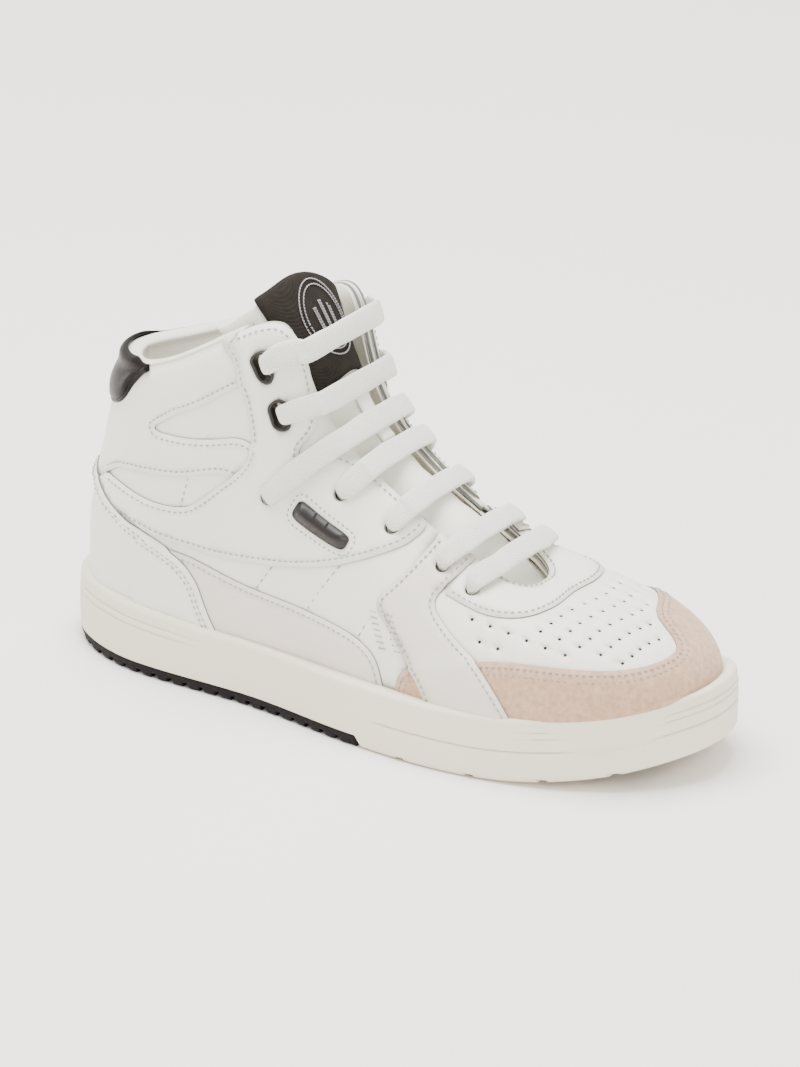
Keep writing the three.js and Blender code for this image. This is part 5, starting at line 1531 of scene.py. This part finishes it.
def foot_plan(offset):
    u = np.linspace(-14, 14, SOLE_POINTS, endpoint=False)
    places = surface(u, np.zeros(SOLE_POINTS))[:, :2][::-1]
    return places + plan_outward(places) * offset


def build_cupsole():
    """White cup of the sole: moulded wall, rounded rim, hollow for the foot, notched underside."""
    x = SOLE_PLAN[:, 0]
    outer = []
    parts = np.unique(np.r_[np.linspace(0.0, 0.92, 24), 0.47, 0.48, 0.49, 0.50, 0.51, 0.68, 0.69,
                            0.70, 0.71, 0.72, 0.78, 0.79, 0.80, 0.81, 0.82, 0.945, 0.965, 0.98,
                            0.99, 1.0])
    black = smooth((14.2 - x) / 0.5)
    for part in parts:
        low_round = 1.5 * np.clip(1 - part / 0.07, 0, 1) ** 2 * (1 - black)
        rim = 2.2 * (1 - np.sqrt(np.clip(1 - np.clip((part - 0.93) / 0.07, 0, 1) ** 2, 0, 1)))
        height = np.maximum(wall_height(part, x), black * RUBBER_TOP)
        outer.append(sole_ring(wall_inset(part, x) + low_round + rim, height))
    order = match_rings(outer[-1], foot_plan(1.6))
    inner_top = foot_plan(1.6)[order]
    inner_x = inner_top[:, 0]
    drop = [(1.3, 0.5), (0.2, 0.0), (-6.0, 0.0), (-13.5, 0.4), (-14.0, 3.0)]
    inner = []
    for down, inset in drop:
        places = foot_plan(1.6 - inset)[order]
        inner.append(np.column_stack([places, feather_height(inner_x) + down]))
    sections = np.array(outer + inner)
    points = sections.reshape(-1, 3)
    faces = grid_faces(len(sections), SOLE_POINTS, True)
    start = (len(sections) - 1) * SOLE_POINTS
    faces += plan_cap(points[start:start + SOLE_POINTS], start, True)
    faces += plan_cap(points[:SOLE_POINTS], 0, False)
    thing = make_object("cup_sole", points, facing_out(points, faces), [SOLE])
    cut_notches(thing)
    declare(thing, "shoe", ["cupsole"])


def match_rings(target, ring):
    """Order of ring points that keeps them beside the target's points."""
    index = np.arange(len(ring))
    if signed_area(ring) * signed_area(target) < 0:
        index = index[::-1]
    distance = [((np.roll(ring[index], -k, 0) - target[:, :2]) ** 2).sum()
                for k in range(0, len(ring), 2)]
    return np.roll(index, -2 * int(np.argmin(distance)))


def plan_cap(ring, start, turned):
    """Closes a ring whose two ends face each other, with strips across it."""
    count = len(ring)
    first = int(np.argmin(ring[:, 0]))
    faces = []
    for k in range(count // 2):
        a, b = (first + k) % count, (first + k + 1) % count
        c, d = (first - k - 1) % count, (first - k) % count
        face = [start + v for v in (a, b, c, d)]
        face = [v for i, v in enumerate(face) if v not in face[:i]]
        if len(face) > 2:
            faces.append(tuple(face) if turned else tuple(face)[::-1])
    return faces


def cut_notches(thing):
    """Flex notches across the underside of the forefoot, cut as real slots."""
    tools = []
    for x in (36, 68, 98, 124):
        lift = float(spring_height(x))
        tools.append(box_points((x - 2, -80, lift - 8), (x + 2, 80, lift + 1.6)))
    points = np.vstack(tools)
    faces = []
    for k in range(len(tools)):
        faces += [tuple(8 * k + v for v in face) for face in BOX_FACES]
    cutter = make_object("notch_tool", points, faces, [SOLE], flat=True)
    modifier = thing.modifiers.new("notches", "BOOLEAN")
    modifier.operation = "DIFFERENCE"
    modifier.solver = "EXACT"
    modifier.object = cutter
    mesh = bpy.data.meshes.new_from_object(
        thing.evaluated_get(bpy.context.evaluated_depsgraph_get()))
    thing.modifiers.clear()
    thing.data = mesh
    bpy.data.objects.remove(cutter)


BOX_FACES = ((0, 3, 2, 1), (4, 5, 6, 7), (0, 1, 5, 4), (1, 2, 6, 5), (2, 3, 7, 6), (3, 0, 4, 7))


def box_points(low, high):
    return np.array([(x, y, z) for z in (low[2], high[2])
                     for x, y in ((low[0], low[1]), (high[0], low[1]), (high[0], high[1]),
                                  (low[0], high[1]))])


def build_heel_rubber():
    """Dark heel rubber with wide moulded teeth along its lower edge and under the foot."""
    x = SOLE_PLAN[:, 0]
    keep = x < 14.0
    first = int(np.argmax(keep & ~np.roll(keep, 1)))
    run = np.roll(SOLE_PLAN, -first, 0)[:keep.sum()]
    out = np.roll(SOLE_OUT, -first, 0)[:keep.sum()]
    distance = path_length(run)
    at = np.linspace(0, distance[-1], 330)
    plan = np.column_stack([np.interp(at, distance, run[:, k]) for k in range(2)])
    out = unit(np.column_stack([np.interp(at, distance, out[:, k]) for k in range(2)]))
    plan[0, 0] = plan[-1, 0] = RUBBER_FRONT
    lift = 4.0 * np.clip((-126 - plan[:, 0]) / 24, 0, 1) ** 1.5
    phase = np.mod(6 - plan[:, 0], TOOTH_PITCH)
    notch = smooth(phase / 0.7) * smooth((3.6 - phase) / 0.7)
    rows = []
    for inset, height, bite in ((14.0, 0.0, 1.0), (3.0, 0.0, 1.0), (1.1, 0.0, 1.0), (0.35, 0.5, 0.85),
                                (0.1, 1.4, 0.4), (0.05, 2.6, 0.0), (0.0, 4.0, 0.0), (0.15, 5.2, 0.0),
                                (14.0, 5.2, 0.0)):
        low = 0.75 * lift if height < 2 else 0.4 * lift * (5.2 - height) / 3
        z = np.minimum(height + low + 2.4 * notch * bite, 5.2)
        places = plan - out * inset
        places[:, 0] = np.minimum(places[:, 0], RUBBER_FRONT)
        rows.append(np.column_stack([places, z]))
    sections = np.array(rows).transpose(1, 0, 2)
    points = sections.reshape(-1, 3)
    faces = grid_faces(len(sections), len(rows), True)
    faces += [tuple(range(len(rows)))[::-1],
              tuple((len(sections) - 1) * len(rows) + k for k in range(len(rows)))]
    thing = make_object("heel_rubber_rim", points, facing_out(points, faces), [OUTSOLE])
    declare(thing, "shoe")
    build_heel_bars()


def build_heel_bars():
    """Ribs across the heel rubber, under the foot."""
    points, faces = [], []
    for number in range(19):
        x1 = 6 - TOOTH_PITCH * number - 3.3
        x0 = 6 - TOOTH_PITCH * (number + 1)
        low, high = chord(x0, 13.0), chord(x1, 13.0)
        if low is None or high is None:
            continue
        start = len(points)
        for z, shrink in ((2.6, 0.0), (0.35, 0.0), (0.0, 0.4)):
            points += [(x0 + shrink, low[0], z), (x1 - shrink, high[0], z),
                       (x1 - shrink, high[1], z), (x0 + shrink, low[1], z)]
        faces += grid_faces(3, 4, True, start=start)
        faces.append(tuple(start + v for v in (0, 1, 2, 3)))
        faces.append(tuple(start + v for v in (11, 10, 9, 8)))
    points = np.array(points, float)
    thing = make_object("heel_rubber_ribs", points, facing_out(points, faces), [OUTSOLE], flat=True)
    bevel = thing.modifiers.new("soft edges", "BEVEL")
    bevel.width = 0.0004
    bevel.segments = 2
    declare(thing, "shoe")


def chord(x, inset):
    """The two sides of the sole outline at x, moved in."""
    ring = SOLE_PLAN - SOLE_OUT * inset
    hits = []
    for a, b in zip(ring, np.roll(ring, -1, 0)):
        if (a[0] - x) * (b[0] - x) < 0:
            hits.append(a[1] + (b[1] - a[1]) * (x - a[0]) / (b[0] - a[0]))
    return (min(hits), max(hits)) if len(hits) >= 2 else None


# ---------------------------------------------------------------- carried-over CAD pieces
MIDSOLE_DRAW_IN = 1.3           # keeps the foam behind the grooves of the toe wall


def finish_cad_pieces():
    """Materials for the hidden pieces that keep their CAD shape; the midsole draws in a little."""
    looks = {
        "heel_outsole": OUTSOLE, "forefoot_tread": OUTSOLE, "midsole_foam": FOAM,
        "strobel_board": BOARD, "vamp_lining": LINING, "toe_puff": BOARD,
        "heel_stiffener": BOARD, "collar_foam": FOAM, "footbed": LINING,
    }
    for name, look in looks.items():
        thing = frame["nodes"][name]
        thing.data.materials.clear()
        thing.data.materials.append(look)
    shrink = frame["nodes"]["midsole_foam"].modifiers.new("clear of the grooves", "DISPLACE")
    shrink.strength = -MIDSOLE_DRAW_IN * MM
    shrink.mid_level = 0


def build_footbed():
    """Cushioned insole with a raised rim and a sunken heel."""
    plan = foot_plan(-4.9)
    x = plan[:, 0]
    centre = np.column_stack([x, np.zeros(len(x))])
    rings = []
    for share, rise in ((1.0, -4.0), (1.0, -0.9), (0.985, -0.35), (0.95, -0.2), (0.85, -0.7),
                        (0.6, -1.4), (0.3, -1.7), (0.02, -1.75)):
        places = centre + (plan - centre) * share
        places[:, 0] = x * (0.985 + 0.015 * share) if share == 1.0 else x * (0.9 + 0.1 * share)
        rings.append(np.column_stack([places, feather_height(places[:, 0]) + rise]))
    sections = np.array(rings)
    points = sections.reshape(-1, 3)
    faces = grid_faces(len(rings), SOLE_POINTS, True)
    last = (len(rings) - 1) * SOLE_POINTS
    faces += plan_cap(points[last:], last, True) + plan_cap(points[:SOLE_POINTS], 0, False)
    thing = make_object("footbed_cushion", points, facing_out(points, faces), [LINING])
    declare(thing, "shoe", ["footbed"])


# ---------------------------------------------------------------- camera, light and floor
# place in metres, side in metres, watts
LAMPS = [((-0.25, -0.1, 1.9), 1.5, 98), ((-1.0, -1.2, 1.1), 1.0, 7),
         ((1.5, -0.7, 1.0), 1.2, 16), ((0.3, 1.5, 1.6), 1.3, 12)]


def build_stage():
    """The photo's camera, a pale floor and four soft lamps."""
    target = Vector((0, 0, 0.060))
    azimuth, elevation, distance = math.radians(33), math.radians(23), 3.0
    back = Vector((math.sin(azimuth) * math.cos(elevation), -math.cos(azimuth) * math.cos(elevation),
                   math.sin(elevation)))
    data = bpy.data.cameras.new("camera")
    data.sensor_fit = "VERTICAL"
    data.sensor_height = 36
    data.lens = 251
    data.shift_x = 0.0036
    data.shift_y = 0.0237
    camera = bpy.data.objects.new("camera", data)
    camera.location = target + back * distance
    camera.rotation_euler = back.to_track_quat("Z", "Y").to_euler()
    bpy.context.scene.collection.objects.link(camera)
    bpy.context.scene.camera = camera

    points = [(-4000, -4000, 0), (4000, -4000, 0), (4000, 4000, 0), (-4000, 4000, 0)]
    pale = (0.92, 0.885, 0.845)
    material, tree, shader = start_material("floor_paint", pale, 0.9, Specular_IOR_Level=0.1)
    colour_variation(tree, shader, pale, (0.91, 0.875, 0.835), 3)
    floor = make_object("floor", points, [(0, 1, 2, 3)], [material])
    floor.location.z = -0.0002

    world = bpy.data.worlds.new("studio")
    world.use_nodes = True
    world.node_tree.nodes["Background"].inputs["Color"].default_value = (1.0, 0.975, 0.94, 1)
    world.node_tree.nodes["Background"].inputs["Strength"].default_value = 1.15
    bpy.context.scene.world = world
    for place, size, power in LAMPS:
        light = bpy.data.lights.new("softbox", "AREA")
        light.shape = "SQUARE"
        light.size = size
        light.energy = power
        lamp = bpy.data.objects.new("softbox", light)
        lamp.location = place
        lamp.rotation_euler = (Vector(place) - target).to_track_quat("Z", "Y").to_euler()
        bpy.context.scene.collection.objects.link(lamp)


# ---------------------------------------------------------------- assembly
build_stage()
finish_cad_pieces()
build_cupsole()
build_heel_rubber()
build_footbed()
build_base()
ankles, collar = build_overlays()
build_counter(ankles, collar)
build_badge(ankles[1])
build_heel_lining()
build_collar_lining()
build_heel_tab()
for row_number in range(METAL_ROWS):
    build_eyelet(row_number, 1, "outer")
    build_eyelet(row_number, -1, "inner")
build_lace()
build_tongue()
build_label()
build_keeper()
SEAMS.build("upper_stitching", "shoe", "white_leather")
